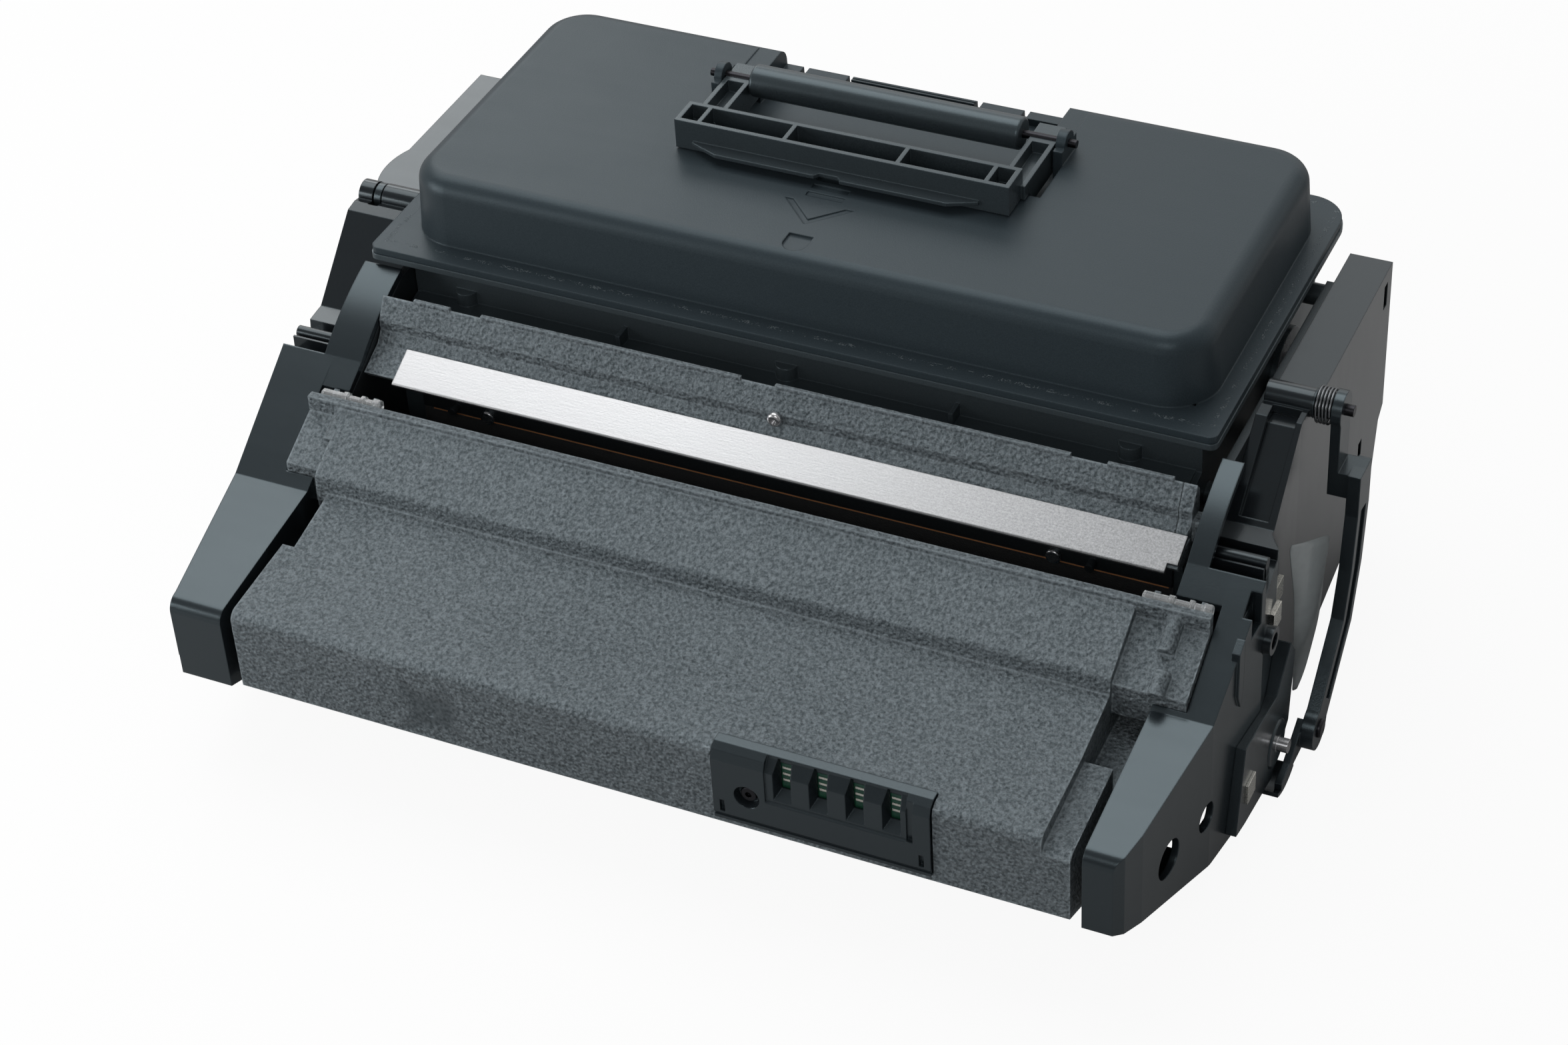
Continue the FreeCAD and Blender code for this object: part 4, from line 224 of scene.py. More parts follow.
def mould_grain_group():
    """The fine pebbled grain of a spark-eroded mould."""
    group, enter, leave = new_group("mould_grain", [("Vector", "Vector", None), ("Size", "Float", 0.0008)],
                                    [("Height", "Float"), ("Tone", "Float")])
    place = enter.outputs["Vector"]
    scale = calculate(group, "DIVIDE", 1.0, enter.outputs["Size"])
    pebbles = add(group, "TexVoronoi", {"Randomness": 1.0}, {"Vector": place, "Scale": scale},
                  feature="SMOOTH_F1")
    fine = add(group, "TexNoise", {"Detail": 4.0, "Roughness": 0.7}, {"Vector": place, "Scale": scale})
    wide = add(group, "TexNoise", {"Scale": 9.0, "Detail": 4.0, "Roughness": 0.6}, {"Vector": place})
    sharp = add(group, "MapRange", {"From Min": 0.38, "From Max": 0.62}, {"Value": fine.outputs["Fac"]})
    height = calculate(group, "ADD", pebbles.outputs["Distance"], fine.outputs["Fac"])
    fine_share = 0.7
    wide_share = 0.3
    tone = calculate(group, "ADD", calculate(group, "MULTIPLY", sharp.outputs["Result"], fine_share),
                     calculate(group, "MULTIPLY", wide.outputs["Fac"], wide_share))
    group.links.new(height, leave.inputs["Height"])
    group.links.new(tone, leave.inputs["Tone"])
    return group


def handling_group():
    """Faint smears and cloudiness on a smooth surface, which show mostly in its gloss."""
    group, enter, leave = new_group("handling", [("Vector", "Vector", None), ("Amount", "Float", 0.1)],
                                    [("Roughness", "Float")])
    place = enter.outputs["Vector"]
    clouds = add(group, "TexNoise", {"Scale": 30.0, "Detail": 4.0, "Distortion": 0.8}, {"Vector": place})
    streaks = add(group, "Mapping", {"Scale": (12.0, 160.0, 60.0)}, {"Vector": place})
    lines = add(group, "TexNoise", {"Scale": 1.0, "Detail": 2.0}, {"Vector": streaks.outputs["Vector"]})
    both = calculate(group, "ADD", clouds.outputs["Fac"], lines.outputs["Fac"])
    mean = 1.0
    smears = calculate(group, "MULTIPLY", calculate(group, "SUBTRACT", both, mean), enter.outputs["Amount"])
    group.links.new(smears, leave.inputs["Roughness"])
    return group


def outside(tree, place, centre, half, axes):
    """How far a point is outside a rectangle in the two named axes, negative inside it."""
    parts = add(tree, "SeparateXYZ", links={"Vector": place})
    reach = []
    for axis, middle, side in zip(axes, centre, half):
        offset = calculate(tree, "ABSOLUTE", calculate(tree, "SUBTRACT", parts.outputs[axis], middle))
        reach.append(calculate(tree, "SUBTRACT", offset, side))
    return calculate(tree, "MAXIMUM", *reach)


def gate_patch_group():
    """1 in the smooth patch of the front wall where the mould was filled."""
    group, enter, leave = new_group("gate_patch", [("Vector", "Vector", None)], [("Mask", "Float")])
    distance = outside(group, enter.outputs["Vector"], GATE_CENTRE, GATE_HALF, "XZ")
    ragged = add(group, "TexNoise", {"Scale": 130.0, "Detail": 3.0}, {"Vector": enter.outputs["Vector"]})
    mean = 0.5
    wave = calculate(group, "MULTIPLY", calculate(group, "SUBTRACT", ragged.outputs["Fac"], mean), GATE_WAVE)
    patch = add(group, "MapRange", {"From Min": 0.001, "From Max": -0.007},
                {"Value": calculate(group, "ADD", distance, wave)}, interpolation_type="SMOOTHSTEP")
    group.links.new(patch.outputs["Result"], leave.inputs["Mask"])
    return group


def weld_line_group():
    """Sparkling specks of the weld in the groove round the raised part of the lid."""
    group, enter, leave = new_group("weld_line", [("Vector", "Vector", None)], [("Specks", "Float")])
    place = enter.outputs["Vector"]
    distance = outside(group, place, HUMP_CENTRE, HUMP_HALF, "XY")
    band = calculate(group, "COMPARE", distance, WELD_DISTANCE, WELD_HALF_WIDTH)
    parts = add(group, "SeparateXYZ", links={"Vector": place})
    level = calculate(group, "COMPARE", parts.outputs["Z"], FLANGE_TOP, WELD_HALF_WIDTH)
    fine = add(group, "TexNoise", {"Scale": 1400.0, "Detail": 2.0}, {"Vector": place})
    clumps = add(group, "TexNoise", {"Scale": 350.0, "Detail": 3.0}, {"Vector": place})
    both = calculate(group, "MULTIPLY", fine.outputs["Fac"], clumps.outputs["Fac"])
    specks = add(group, "MapRange", {"From Min": 0.29, "From Max": 0.38}, {"Value": both})
    groove = calculate(group, "MULTIPLY", band, level)
    group.links.new(calculate(group, "MULTIPLY", groove, specks.outputs["Result"]), leave.inputs["Specks"])
    return group


SOFT_EDGE = soft_edge_group()
MOULD_GRAIN = mould_grain_group()
HANDLING = handling_group()
GATE_PATCH = gate_patch_group()
WELD_LINE = weld_line_group()


def start_material(name):
    """A material with a shader and its output, and the object's own coordinates."""
    material = bpy.data.materials.new(name)
    material.use_nodes = True
    tree = material.node_tree
    tree.nodes.clear()
    shader = add(tree, "BsdfPrincipled")
    output = add(tree, "OutputMaterial", links={"Surface": shader.outputs["BSDF"]})
    output.is_active_output = True
    place = add(tree, "TexCoord").outputs["Object"]
    return material, tree, shader, place


def moulded_plastic(name, dark, light, roughness, grain_size, grain_depth, edge_radius=0.0006, edge_highlight_share=0.25,
                    coat=0.0, specular=0.5, gate=False, weld=False):
    """Moulded plastic between two tones, with its mould grain, slightly glossier corners and a painted
    highlight along them.
    """
    material, tree, shader, place = start_material(name)
    grain = use_group(tree, MOULD_GRAIN, {"Size": grain_size}, {"Vector": place})
    edge = use_group(tree, SOFT_EDGE, {"Radius": edge_radius})
    handling = use_group(tree, HANDLING, {"Amount": SMEAR}, {"Vector": place})
    body = mix_colour(tree, grain.outputs["Tone"], (*dark, 1), (*light, 1))
    # Painted highlight: the corners' colour is lifted towards a brighter tone where the rounded edges would
    # catch the light
    painted_edge_highlight = tuple(min(1.0, channel * (1 + EDGE_HIGHLIGHT_LIFT * edge_highlight_share)) for channel in light)
    edge_amount = calculate(tree, "MULTIPLY", edge.outputs["Edge"], edge_highlight_share)
    colour = mix_colour(tree, edge_amount, body, (*painted_edge_highlight, 1))
    rough = calculate(tree, "ADD", handling.outputs["Roughness"], roughness, clamp=True)
    edge_polish = calculate(tree, "MULTIPLY", edge.outputs["Edge"], EDGE_POLISH)
    rough = calculate(tree, "SUBTRACT", rough, edge_polish, clamp=True)
    height = grain.outputs["Height"]
    if gate:
        patch = use_group(tree, GATE_PATCH, links={"Vector": place}).outputs["Mask"]
        colour = mix_colour(tree, calculate(tree, "MULTIPLY", patch, GATE_DARKNESS), colour, (*dark, 1))
        patch_polish = calculate(tree, "MULTIPLY", patch, GATE_POLISH)
        rough = calculate(tree, "SUBTRACT", rough, patch_polish, clamp=True)
        height = calculate(tree, "MULTIPLY", height, calculate(tree, "SUBTRACT", 1.0, patch))
    if weld:
        specks = use_group(tree, WELD_LINE, links={"Vector": place}).outputs["Specks"]
        colour = mix_colour(tree, calculate(tree, "MULTIPLY", specks, WELD_SHARE), colour, (*WELD_COLOUR, 1))
        height = calculate(tree, "ADD", height, calculate(tree, "MULTIPLY", specks, WELD_HEIGHT))
    tree.links.new(colour, shader.inputs["Base Color"])
    tree.links.new(rough, shader.inputs["Roughness"])
    bump = add(tree, "Bump", {"Distance": grain_depth, "Strength": 1.0},
               {"Height": height, "Normal": edge.outputs["Normal"]})
    tree.links.new(bump.outputs["Normal"], shader.inputs["Normal"])
    shader.inputs["Specular IOR Level"].default_value = specular
    shader.inputs["Specular Tint"].default_value = PLASTIC_TINT
    if coat:
        shader.inputs["Coat Weight"].default_value = coat
        shader.inputs["Coat Roughness"].default_value = COAT_ROUGHNESS
    return material


def metal(name, colour, roughness, brush=(400.0, 400.0, 400.0)):
    """Bare metal; brush is the scale of its grinding lines along X, Y and Z."""
    material, tree, shader, place = start_material(name)
    shader.inputs["Metallic"].default_value = 1.0
    edge = use_group(tree, SOFT_EDGE, {"Radius": 0.0003})
    lines = add(tree, "Mapping", {"Scale": brush}, {"Vector": place})
    noise = add(tree, "TexNoise", {"Scale": 4.0, "Detail": 4.0}, {"Vector": lines.outputs["Vector"]})
    shaded_share = 0.82
    shade = tuple(channel * shaded_share for channel in colour)
    tone = mix_colour(tree, noise.outputs["Fac"], (*shade, 1), (*colour, 1))
    tree.links.new(tone, shader.inputs["Base Color"])
    mean = 0.5
    swing = 0.25
    spread = calculate(tree, "MULTIPLY", calculate(tree, "SUBTRACT", noise.outputs["Fac"], mean), swing)
    tree.links.new(calculate(tree, "ADD", spread, roughness, clamp=True), shader.inputs["Roughness"])
    bump = add(tree, "Bump", {"Distance": 0.00002, "Strength": 0.6},
               {"Height": noise.outputs["Fac"], "Normal": edge.outputs["Normal"]})
    tree.links.new(bump.outputs["Normal"], shader.inputs["Normal"])
    return material


def plate_steel(name):
    """Thin bright sheet: rolled grain along X, spangled, and rougher towards its right end, with a painted
    reflection that fades into painted shade there.
    """
    material, tree, shader, place = start_material(name)
    shader.inputs["Metallic"].default_value = 1.0
    edge = use_group(tree, SOFT_EDGE, {"Radius": 0.0005})
    lines = add(tree, "Mapping", {"Scale": (40.0, 1400.0, 1400.0)}, {"Vector": place})
    rolled = add(tree, "TexNoise", {"Scale": 3.0, "Detail": 4.0}, {"Vector": lines.outputs["Vector"]})
    spangle = add(tree, "TexNoise", {"Scale": 1300.0, "Detail": 3.0, "Roughness": 0.8}, {"Vector": place})
    parts = add(tree, "SeparateXYZ", links={"Vector": place})
    along = add(tree, "MapRange", {"From Min": -0.06, "From Max": 0.17}, {"Value": parts.outputs["X"]},
                interpolation_type="SMOOTHSTEP")
    # Painted reflection: bright tones at the left end that fade into painted shade over the spangle towards
    # the right end
    painted_reflection = mix_colour(tree, rolled.outputs["Fac"], *PLATE_REFLECTION_TONES)
    dull = mix_colour(tree, spangle.outputs["Fac"], *PLATE_SHADED_SPANGLE_TONES)
    tree.links.new(mix_colour(tree, along.outputs["Result"], painted_reflection, dull), shader.inputs["Base Color"])
    dulling = calculate(tree, "MULTIPLY", along.outputs["Result"], PLATE_DULLING)
    tree.links.new(calculate(tree, "ADD", dulling, PLATE_ROUGHNESS), shader.inputs["Roughness"])
    spangle_share = 1.5
    flecks = calculate(tree, "MULTIPLY", spangle.outputs["Fac"], spangle_share)
    both = calculate(tree, "ADD", rolled.outputs["Fac"], flecks)
    bump = add(tree, "Bump", {"Distance": 0.00003, "Strength": 0.7},
               {"Height": both, "Normal": edge.outputs["Normal"]})
    tree.links.new(bump.outputs["Normal"], shader.inputs["Normal"])
    return material


def clear_plastic(name, tint, transmission, frost):
    """Clear or smoky plastic; frost is how rough its cloudiest places are."""
    material, tree, shader, place = start_material(name)
    shader.inputs["Transmission Weight"].default_value = transmission
    shader.inputs["IOR"].default_value = ACRYLIC_IOR
    cloud = add(tree, "TexNoise", {"Scale": 300.0, "Detail": 2.0}, {"Vector": place})
    hazy_share = 0.85
    hazy = tuple(channel * hazy_share for channel in tint)
    tone = mix_colour(tree, cloud.outputs["Fac"], (*hazy, 1), (*tint, 1))
    tree.links.new(tone, shader.inputs["Base Color"])
    tree.links.new(calculate(tree, "MULTIPLY", cloud.outputs["Fac"], frost), shader.inputs["Roughness"])
    return material


def soft_material(name, dark, light, size, roughness, depth, sheen=0.0):
    """Rubber, foam or felt: a dull surface with a fine irregular texture."""
    material, tree, shader, place = start_material(name)
    grain = use_group(tree, MOULD_GRAIN, {"Size": size}, {"Vector": place})
    tone = mix_colour(tree, grain.outputs["Tone"], (*dark, 1), (*light, 1))
    tree.links.new(tone, shader.inputs["Base Color"])
    swing = 0.2
    wave = calculate(tree, "MULTIPLY", grain.outputs["Tone"], swing)
    rough = calculate(tree, "ADD", wave, roughness - swing / 2, clamp=True)
    tree.links.new(rough, shader.inputs["Roughness"])
    bump = add(tree, "Bump", {"Distance": depth}, {"Height": grain.outputs["Height"]})
    tree.links.new(bump.outputs["Normal"], shader.inputs["Normal"])
    shader.inputs["Sheen Weight"].default_value = sheen
    return material


# Each finish with its maker and its values; sizes are in metres
FINISHES = {
    "grained_plastic": (moulded_plastic, {
        "dark": (0.004, 0.006, 0.008), "light": (0.2, 0.228, 0.245), "roughness": 0.42, "grain_size": 0.0013,
        "grain_depth": 0.0007, "edge_radius": 0.0014, "edge_highlight_share": 0.5, "specular": 0.9, "gate": True}),
    "lid_plastic": (moulded_plastic, {
        "dark": (0.02, 0.028, 0.034), "light": (0.03, 0.041, 0.048), "roughness": 0.4, "grain_size": 0.0005,
        "grain_depth": 0.00002, "edge_radius": 0.0008, "edge_highlight_share": 0.2, "specular": 0.4, "weld": True}),
    "cap_plastic": (moulded_plastic, {
        "dark": (0.008, 0.0105, 0.0125), "light": (0.014, 0.0175, 0.0205), "roughness": 0.24,
        "grain_size": 0.0004, "grain_depth": 0.000012, "edge_highlight_share": 0.3, "specular": 0.8}),
    "cover_plastic": (moulded_plastic, {
        "dark": (0.006, 0.007, 0.009), "light": (0.011, 0.013, 0.015), "roughness": 0.2,
        "grain_size": 0.0004, "grain_depth": 0.000008, "edge_highlight_share": 0.3, "coat": 0.25}),
    # Paler copy of the plastic for the hopper's wall in shade: painted fill light
    "hopper_plastic": (moulded_plastic, {
        "dark": (0.034, 0.043, 0.048), "light": (0.05, 0.062, 0.069), "roughness": 0.32,
        "grain_size": 0.0005, "grain_depth": 0.00001, "edge_highlight_share": 0.4, "specular": 0.7}),
    "frame_plastic": (moulded_plastic, {
        "dark": (0.011, 0.0125, 0.014), "light": (0.02, 0.023, 0.025), "roughness": 0.36,
        "grain_size": 0.0005, "grain_depth": 0.00002, "edge_highlight_share": 0.4}),
    "handle_plastic": (moulded_plastic, {
        "dark": (0.024, 0.031, 0.035), "light": (0.038, 0.048, 0.054), "roughness": 0.28,
        "grain_size": 0.0005, "grain_depth": 0.00001, "edge_highlight_share": 0.5, "specular": 0.7}),
    "bright_steel": (plate_steel, {}),
    "shaft_steel": (metal, {"colour": (0.62, 0.62, 0.63), "roughness": 0.25, "brush": (60.0, 900.0, 900.0)}),
    "spring_steel": (metal, {"colour": (0.2, 0.21, 0.22), "roughness": 0.3}),
    "black_screw": (metal, {"colour": (0.04, 0.04, 0.045), "roughness": 0.35}),
    "copper_strip": (metal, {"colour": (1.0, 0.55, 0.28), "roughness": 0.75, "brush": (30.0, 900.0, 900.0)}),
    "felt": (soft_material, {
        "dark": (0.008, 0.008, 0.008), "light": (0.02, 0.02, 0.02), "size": 0.0004, "roughness": 0.95,
        "depth": 0.00015, "sheen": 0.3}),
    "clear_guide": (clear_plastic, {"tint": (0.93, 0.96, 0.97), "transmission": 0.8, "frost": 0.3}),
    "circuit_board": (moulded_plastic, {
        "dark": (0.01, 0.05, 0.03), "light": (0.02, 0.09, 0.05), "roughness": 0.3, "grain_size": 0.0012,
        "grain_depth": 0.00001}),
    "contact_metal": (metal, {"colour": (0.85, 0.83, 0.76), "roughness": 0.28}),
    "drum_coating": (moulded_plastic, {
        "dark": (0.02, 0.1, 0.14), "light": (0.03, 0.13, 0.18), "roughness": 0.12, "grain_size": 0.02,
        "grain_depth": 0.000001, "coat": 0.5}),
    "roller_rubber": (soft_material, {
        "dark": (0.015, 0.015, 0.016), "light": (0.035, 0.035, 0.037), "size": 0.0006, "roughness": 0.6,
        "depth": 0.00003}),
    "roller_foam": (soft_material, {
        "dark": (0.05, 0.05, 0.052), "light": (0.12, 0.12, 0.125), "size": 0.0008, "roughness": 0.9,
        "depth": 0.0003}),
    "gear_plastic": (moulded_plastic, {
        "dark": (0.6, 0.59, 0.55), "light": (0.72, 0.71, 0.67), "roughness": 0.4, "grain_size": 0.0006,
        "grain_depth": 0.00001}),
    "paddle_film": (moulded_plastic, {
        "dark": (0.45, 0.46, 0.46), "light": (0.55, 0.56, 0.56), "roughness": 0.2, "grain_size": 0.002,
        "grain_depth": 0.00001}),
    "wiper_rubber": (soft_material, {
        "dark": (0.25, 0.11, 0.03), "light": (0.33, 0.16, 0.05), "size": 0.001, "roughness": 0.4,
        "depth": 0.00001}),
    "guard_film": (clear_plastic, {"tint": (0.45, 0.49, 0.5), "transmission": 0.15, "frost": 0.25}),
}
MATERIALS = {name: make(name, **values) for name, (make, values) in FINISHES.items()}

# Nodes whose finish is darker or paler than the rest of their record slot; the hopper's paler plastic is
# painted fill light on its wall in shade
OWN_FINISH = {"handle_pin": "black_screw", "lever_pin": "black_screw", "pivot_pins": "black_screw",
              "hopper_body": "hopper_plastic"}


def dress_nodes():
    """Gives every CAD node the material of its record slot, or its own finish."""
    for part in frame["record"]["subparts"]:
        node = NODES[part["node"]]
        slot = OWN_FINISH.get(part["node"], part["material_slot"])
        node.data.materials.clear()
        node.data.materials.append(MATERIALS[slot])


def link(name, data):
    """A new object in the scene."""
    holder = bpy.data.objects.new(name, data)
    bpy.context.scene.collection.objects.link(holder)
    return holder


def area_light(name, place, target, size, power):
    """A rectangular lamp turned towards its target."""
    lamp = bpy.data.lights.new(name, "AREA")
    lamp.shape = "RECTANGLE"
    lamp.size, lamp.size_y = size
    lamp.energy = power
    holder = link(name, lamp)
    holder.location = place
    holder.rotation_euler = (Vector(target) - Vector(place)).to_track_quat("-Z", "Y").to_euler()


def world():
    """White to the eye; to the object a soft room, brighter above and behind than in front."""
    sky = bpy.data.worlds.new("studio")
    sky.use_nodes = True
    tree = sky.node_tree
    tree.nodes.clear()
    rays = add(tree, "LightPath")
    towards = add(tree, "SeparateXYZ", links={"Vector": add(tree, "TexCoord").outputs["Generated"]})
    behind = add(tree, "MapRange",
                 {"From Min": -0.9, "From Max": 0.7, "To Min": ROOM_IN_FRONT, "To Max": ROOM_BEHIND},
                 {"Value": towards.outputs["Y"]}, interpolation_type="SMOOTHSTEP")
    matt = calculate(tree, "MULTIPLY", rays.outputs["Is Diffuse Ray"], ROOM_ON_MATT)
    mirrored = calculate(tree, "MULTIPLY", rays.outputs["Is Glossy Ray"], behind.outputs["Result"])
    room = calculate(tree, "MAXIMUM", matt, mirrored)
    seen = calculate(tree, "MAXIMUM", rays.outputs["Is Camera Ray"], rays.outputs["Is Transmission Ray"])
    strength = calculate(tree, "MAXIMUM", seen, room)
    back = add(tree, "Background", {"Color": (1, 1, 1, 1)}, {"Strength": strength})
    add(tree, "OutputWorld", links={"Surface": back.outputs["Background"]})
    bpy.context.scene.world = sky


def floor():
    """A pale floor that stays white to the camera and keeps the object's shadow."""
    reach = FLOOR_REACH
    mesh = bpy.data.meshes.new("floor")
    mesh.from_pydata([(-reach, -reach, 0), (reach, -reach, 0), (reach, reach, 0), (-reach, reach, 0)], [],
                     [(0, 1, 2, 3)])
    plane = link("floor", mesh)
    material = bpy.data.materials.new("floor")
    material.use_nodes = True
    tree = material.node_tree
    tree.nodes.clear()
    rays = add(tree, "LightPath")
    under = (FLOOR_GREY, FLOOR_GREY, FLOOR_GREY, 1)
    to_camera = (FLOOR_SEEN, FLOOR_SEEN, FLOOR_SEEN, 1)
    shown = mix_colour(tree, rays.outputs["Is Camera Ray"], under, to_camera)
    paper = add(tree, "BsdfDiffuse", links={"Color": shown})
    glow = add(tree, "Emission", {"Color": (1, 1, 1, 1), "Strength": 1.0})
    seen = calculate(tree, "MAXIMUM", rays.outputs["Is Camera Ray"], rays.outputs["Is Transmission Ray"])
    share = calculate(tree, "MULTIPLY", seen, FLOOR_GLOW)
    mixed = add(tree, "MixShader", links={0: share, 1: paper.outputs["BSDF"], 2: glow.outputs["Emission"]})
    add(tree, "OutputMaterial", links={"Surface": mixed.outputs["Shader"]})
    mesh.materials.append(material)


def camera():
    """The photograph's camera."""
    lens = bpy.data.cameras.new("photo_camera")
    lens.lens = CAMERA_LENS
    lens.sensor_width = SENSOR_WIDTH
    lens.clip_start = 0.05
    holder = link("photo_camera", lens)
    turn = Matrix((CAMERA_RIGHT, CAMERA_UP, CAMERA_BACK)).transposed().to_4x4()
    holder.matrix_world = Matrix.Translation(CAMERA_PLACE) @ turn
    bpy.context.scene.camera = holder


def mesh_piece(name, mesh, slot, body="cartridge"):
    """Links a finished mesh as a piece of the named body and material slot."""
    mesh.materials.clear()
    mesh.materials.append(MATERIALS[slot])
    piece = link(name, mesh)
    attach(piece, body)
    return piece


def baked_mesh(holder):
    """The holder's mesh with its modifiers applied; the holder is removed."""
    graph = bpy.context.evaluated_depsgraph_get()
    result = bpy.data.meshes.new_from_object(holder.evaluated_get(graph), depsgraph=graph)
    bpy.data.objects.remove(holder)
    return result


def finished_mesh(name, mesh, **modifiers):
    """The mesh after its modifiers, each given as its type and settings."""
    holder = link(name, mesh)
    for kind, settings in modifiers.items():
        modifier = holder.modifiers.new(kind, kind)
        for label, value in settings.items():
            setattr(modifier, label, value)
    return baked_mesh(holder)


def grown_mesh(name, tree, values):
    """The mesh that a geometry tree makes with these values for its named inputs."""
    holder = link(name, bpy.data.meshes.new(name + "_start"))
    modifier = holder.modifiers.new("grow", "NODES")
    modifier.node_group = tree
    for item in tree.interface.items_tree:
        if item.in_out == "INPUT" and item.name in values:
            modifier[item.identifier] = values[item.name]
    return baked_mesh(holder)


def add_shape(tree, kind, values=None, links=None):
    """A new node of a geometry tree."""
    return add(tree, kind, values, links, family="GeometryNode")


def start_tree(name, inputs):
    """A geometry tree with named inputs, and their node."""
    tree = bpy.data.node_groups.new(name, "GeometryNodeTree")
    for label, kind in inputs:
        tree.interface.new_socket(label, in_out="INPUT", socket_type="NodeSocket" + kind)
    tree.interface.new_socket("Geometry", in_out="OUTPUT", socket_type="NodeSocketGeometry")
    return tree, tree.nodes.new("NodeGroupInput")


def close_tree(tree, geometry, finish):
    """Ends a geometry tree with Realize Instances and Set Material."""
    real = add_shape(tree, "RealizeInstances", links={"Geometry": geometry})
    smooth = add_shape(tree, "SetShadeSmooth", links={"Geometry": real.outputs["Geometry"]})
    dressed = add_shape(tree, "SetMaterial",
                        links={"Geometry": smooth.outputs["Geometry"], "Material": finish})
    leave = tree.nodes.new("NodeGroupOutput")
    tree.links.new(dressed.outputs["Geometry"], leave.inputs["Geometry"])


def coil_tree():
    """A wound wire about X from the bottom, with one leg at each end."""
    tree, enter = start_tree("wound_wire", [
        ("Turns", "Float"), ("Radius", "Float"), ("Wire", "Float"), ("Length", "Float"),
        ("First End", "Vector"), ("Last End", "Vector"), ("Place", "Vector"), ("Finish", "Material")])
    given = enter.outputs
    spiral = add_shape(tree, "CurveSpiral", {"Resolution": 40, "Reverse": True},
                       {"Rotations": given["Turns"], "Start Radius": given["Radius"],
                        "End Radius": given["Radius"], "Height": given["Length"]})
    turned = add_shape(tree, "Transform", {"Rotation": (0.0, math.radians(90), 0.0)},
                       {"Geometry": spiral.outputs["Curve"]})
    joined = add_shape(tree, "JoinGeometry", links={"Geometry": turned.outputs["Geometry"]})
    first_start = (0.0, 0.0, -SPRING_RADIUS)
    last_start = (SPRING_LENGTH, SPRING_RADIUS, 0.0)
    for start, label in ((first_start, "First End"), (last_start, "Last End")):
        leg = add_shape(tree, "CurvePrimitiveLine", {"Start": start}, {"End": given[label]})
        tree.links.new(leg.outputs["Curve"], joined.inputs["Geometry"])
    section = add_shape(tree, "CurvePrimitiveCircle", {"Resolution": 10}, {"Radius": given["Wire"]})
    wire = add_shape(tree, "CurveToMesh", {"Fill Caps": True},
                     {"Curve": joined.outputs["Geometry"], "Profile Curve": section.outputs["Curve"]})
    moved = add_shape(tree, "Transform",
                      links={"Geometry": wire.outputs["Mesh"], "Translation": given["Place"]})
    close_tree(tree, moved.outputs["Geometry"], given["Finish"])
    return tree


def join_rings(shape, rings, loop=False):
    """Faces from each ring of points to the next one, and from the last to the first in a loop."""
    following = rings[1:] + rings[:1] if loop else rings[1:]
    for first, second in zip(rings, following):
        for step in range(len(first)):
            after = (step + 1) % len(first)
            shape.faces.new((first[step], first[after], second[after], second[step]))


def open_mesh(name, shape):
    """A mesh from a shape as it is."""
    mesh = bpy.data.meshes.new(name)
    shape.to_mesh(mesh)
    shape.free()
    return mesh


def closed_mesh(name, shape):
    """A mesh from a closed shape, its faces turned outwards."""
    bmesh.ops.recalc_face_normals(shape, faces=shape.faces)
    return open_mesh(name, shape)


def turned_mesh(name, profile, centre, segments=48):
    """A mesh turned about X through the centre; the profile gives distance along X and radius."""
    shape = bmesh.new()
    rings = []
    for along, radius in profile:
        ring = []
        for step in range(segments):
            angle = 2 * math.pi * step / segments
            ring.append(shape.verts.new((centre.x + along, centre.y + radius * math.cos(angle),
                                         centre.z + radius * math.sin(angle))))
        rings.append(ring)
    join_rings(shape, rings, loop=True)
    return closed_mesh(name, shape)


def return_spring():
    """The wound spring on the right pivot and the plastic hub inside it."""
    wire = grown_mesh("return_spring", coil_tree(), {
        "Turns": SPRING_TURNS, "Radius": SPRING_RADIUS, "Wire": SPRING_WIRE, "Length": SPRING_LENGTH,
        "First End": SPRING_FIRST_END, "Last End": SPRING_LAST_END,
        "Place": PIVOT + Vector((SPRING_GAP, 0, 0)), "Finish": MATERIALS["spring_steel"]})
    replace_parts(mesh_piece("return_spring", wire, "spring_steel"), "torsion_spring")
    mesh_piece("spring_hub", turned_mesh("spring_hub", HUB_PROFILE, PIVOT), "cap_plastic")


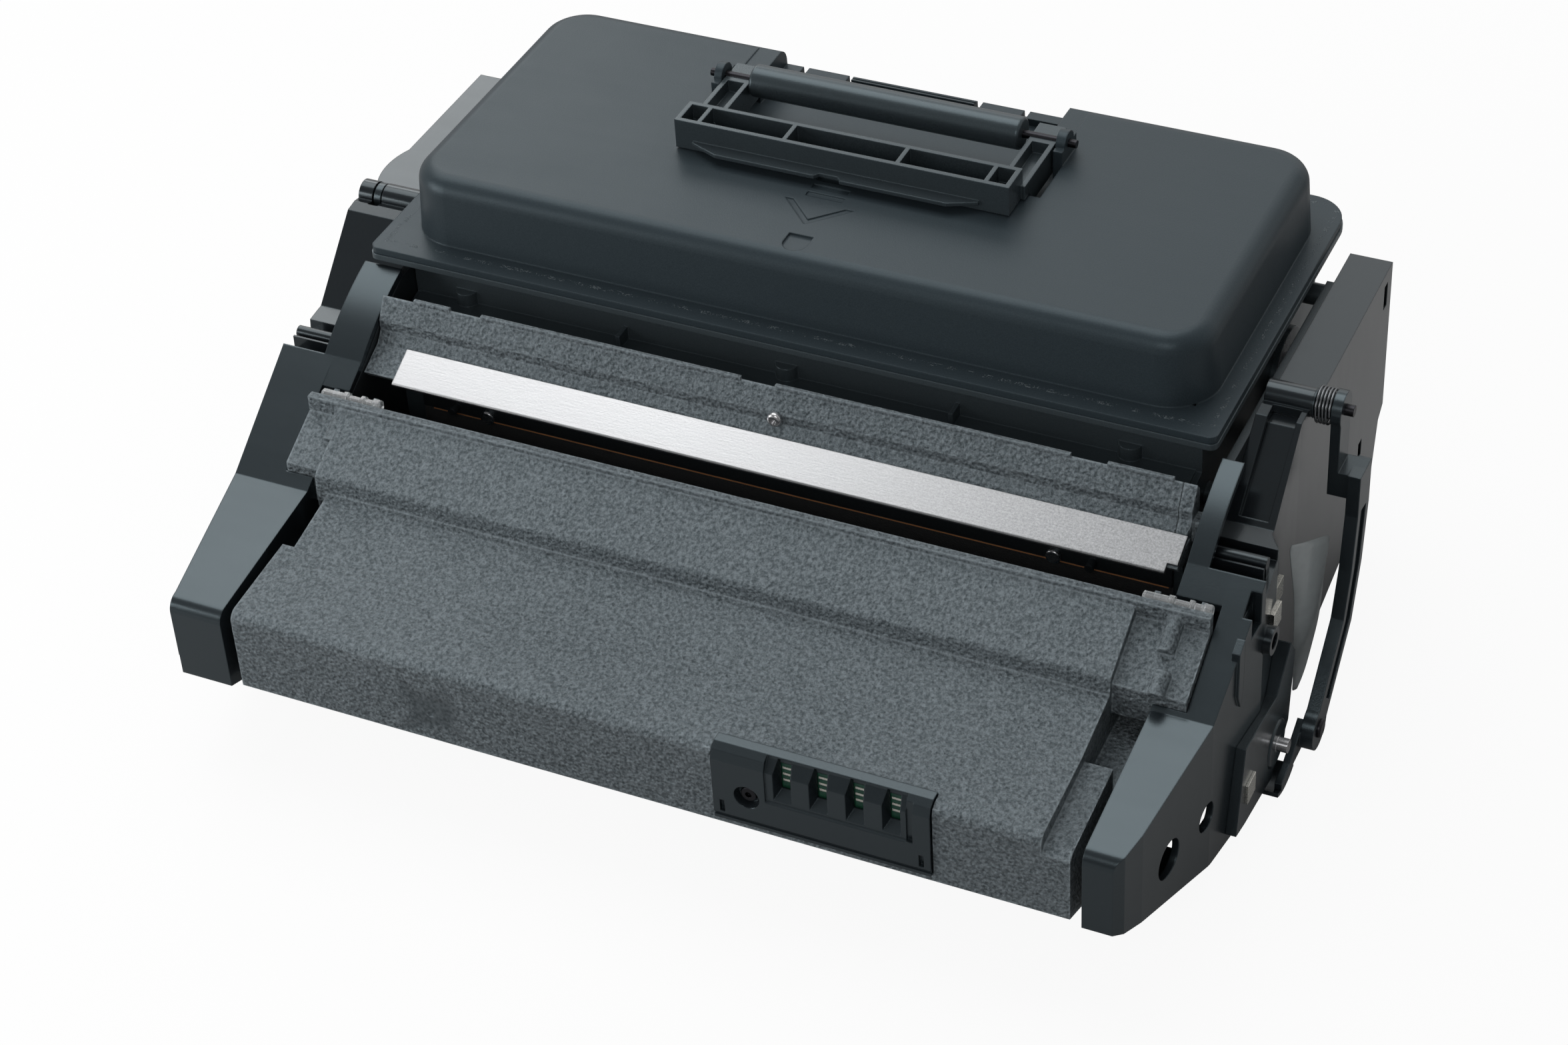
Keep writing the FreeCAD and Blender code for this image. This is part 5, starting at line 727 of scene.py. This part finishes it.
def guard_film():
    """The thin smoky film that curls beside the lever and narrows to a tip."""
    shape = bmesh.new()
    rows = []
    for left, right, bulge in zip(FILM_LEFT, FILM_RIGHT, FILM_BULGE):
        row = []
        for step in range(FILM_COLUMNS):
            share = step / (FILM_COLUMNS - 1)
            point = Vector(left).lerp(Vector(right), share)
            arch = bulge * math.sin(math.pi * share)
            curl = -FILM_CURL * bulge * math.sin(2 * math.pi * share)
            row.append(shape.verts.new((point + Vector((arch, curl, 0))) * MM))
        rows.append(row)
    for above, below in zip(rows, rows[1:]):
        for step in range(FILM_COLUMNS - 1):
            shape.faces.new((above[step], below[step], below[step + 1], above[step + 1]))
    film = finished_mesh("guard_film", open_mesh("guard_film", shape),
                         SUBSURF={"levels": 2, "render_levels": 2},
                         SOLIDIFY={"thickness": FILM_THICKNESS, "offset": -1.0})
    for face in film.polygons:
        face.use_smooth = True
    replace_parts(mesh_piece("guard_film", film, "guard_film"), "guard_sheet")


def light_guide(node):
    """A clear bar with chamfered corners, collars and a block at its inner end."""
    shape = bmesh.new()
    start = GUIDE_STARTS[node]
    centre_y, centre_z = GUIDE_CENTRE
    rings = []
    for along, tall, deep in GUIDE_SECTIONS:
        cut = GUIDE_CHAMFER * min(tall, deep)
        corners = [(deep - cut, tall), (-deep + cut, tall), (-deep, tall - cut), (-deep, -tall + cut),
                   (-deep + cut, -tall), (deep - cut, -tall), (deep, -tall + cut), (deep, tall - cut)]
        rings.append([shape.verts.new((start + along * MM, centre_y + y * MM, centre_z + z * MM))
                      for y, z in corners])
    join_rings(shape, rings)
    shape.faces.new(rings[0])
    shape.faces.new(rings[-1])
    name = node + "_bar"
    bar = finished_mesh(name, closed_mesh(name, shape), BEVEL={"width": GUIDE_SOFTNESS, "segments": 2})
    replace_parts(mesh_piece(name, bar, "clear_guide"), node)


def main():
    """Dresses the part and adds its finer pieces."""
    bpy.context.scene.view_settings.view_transform = "Standard"
    camera()
    world()
    for lamp in LAMPS:
        area_light(*lamp)
    floor()
    dress_nodes()
    return_spring()
    guard_film()
    for node in GUIDE_STARTS:
        light_guide(node)


main()
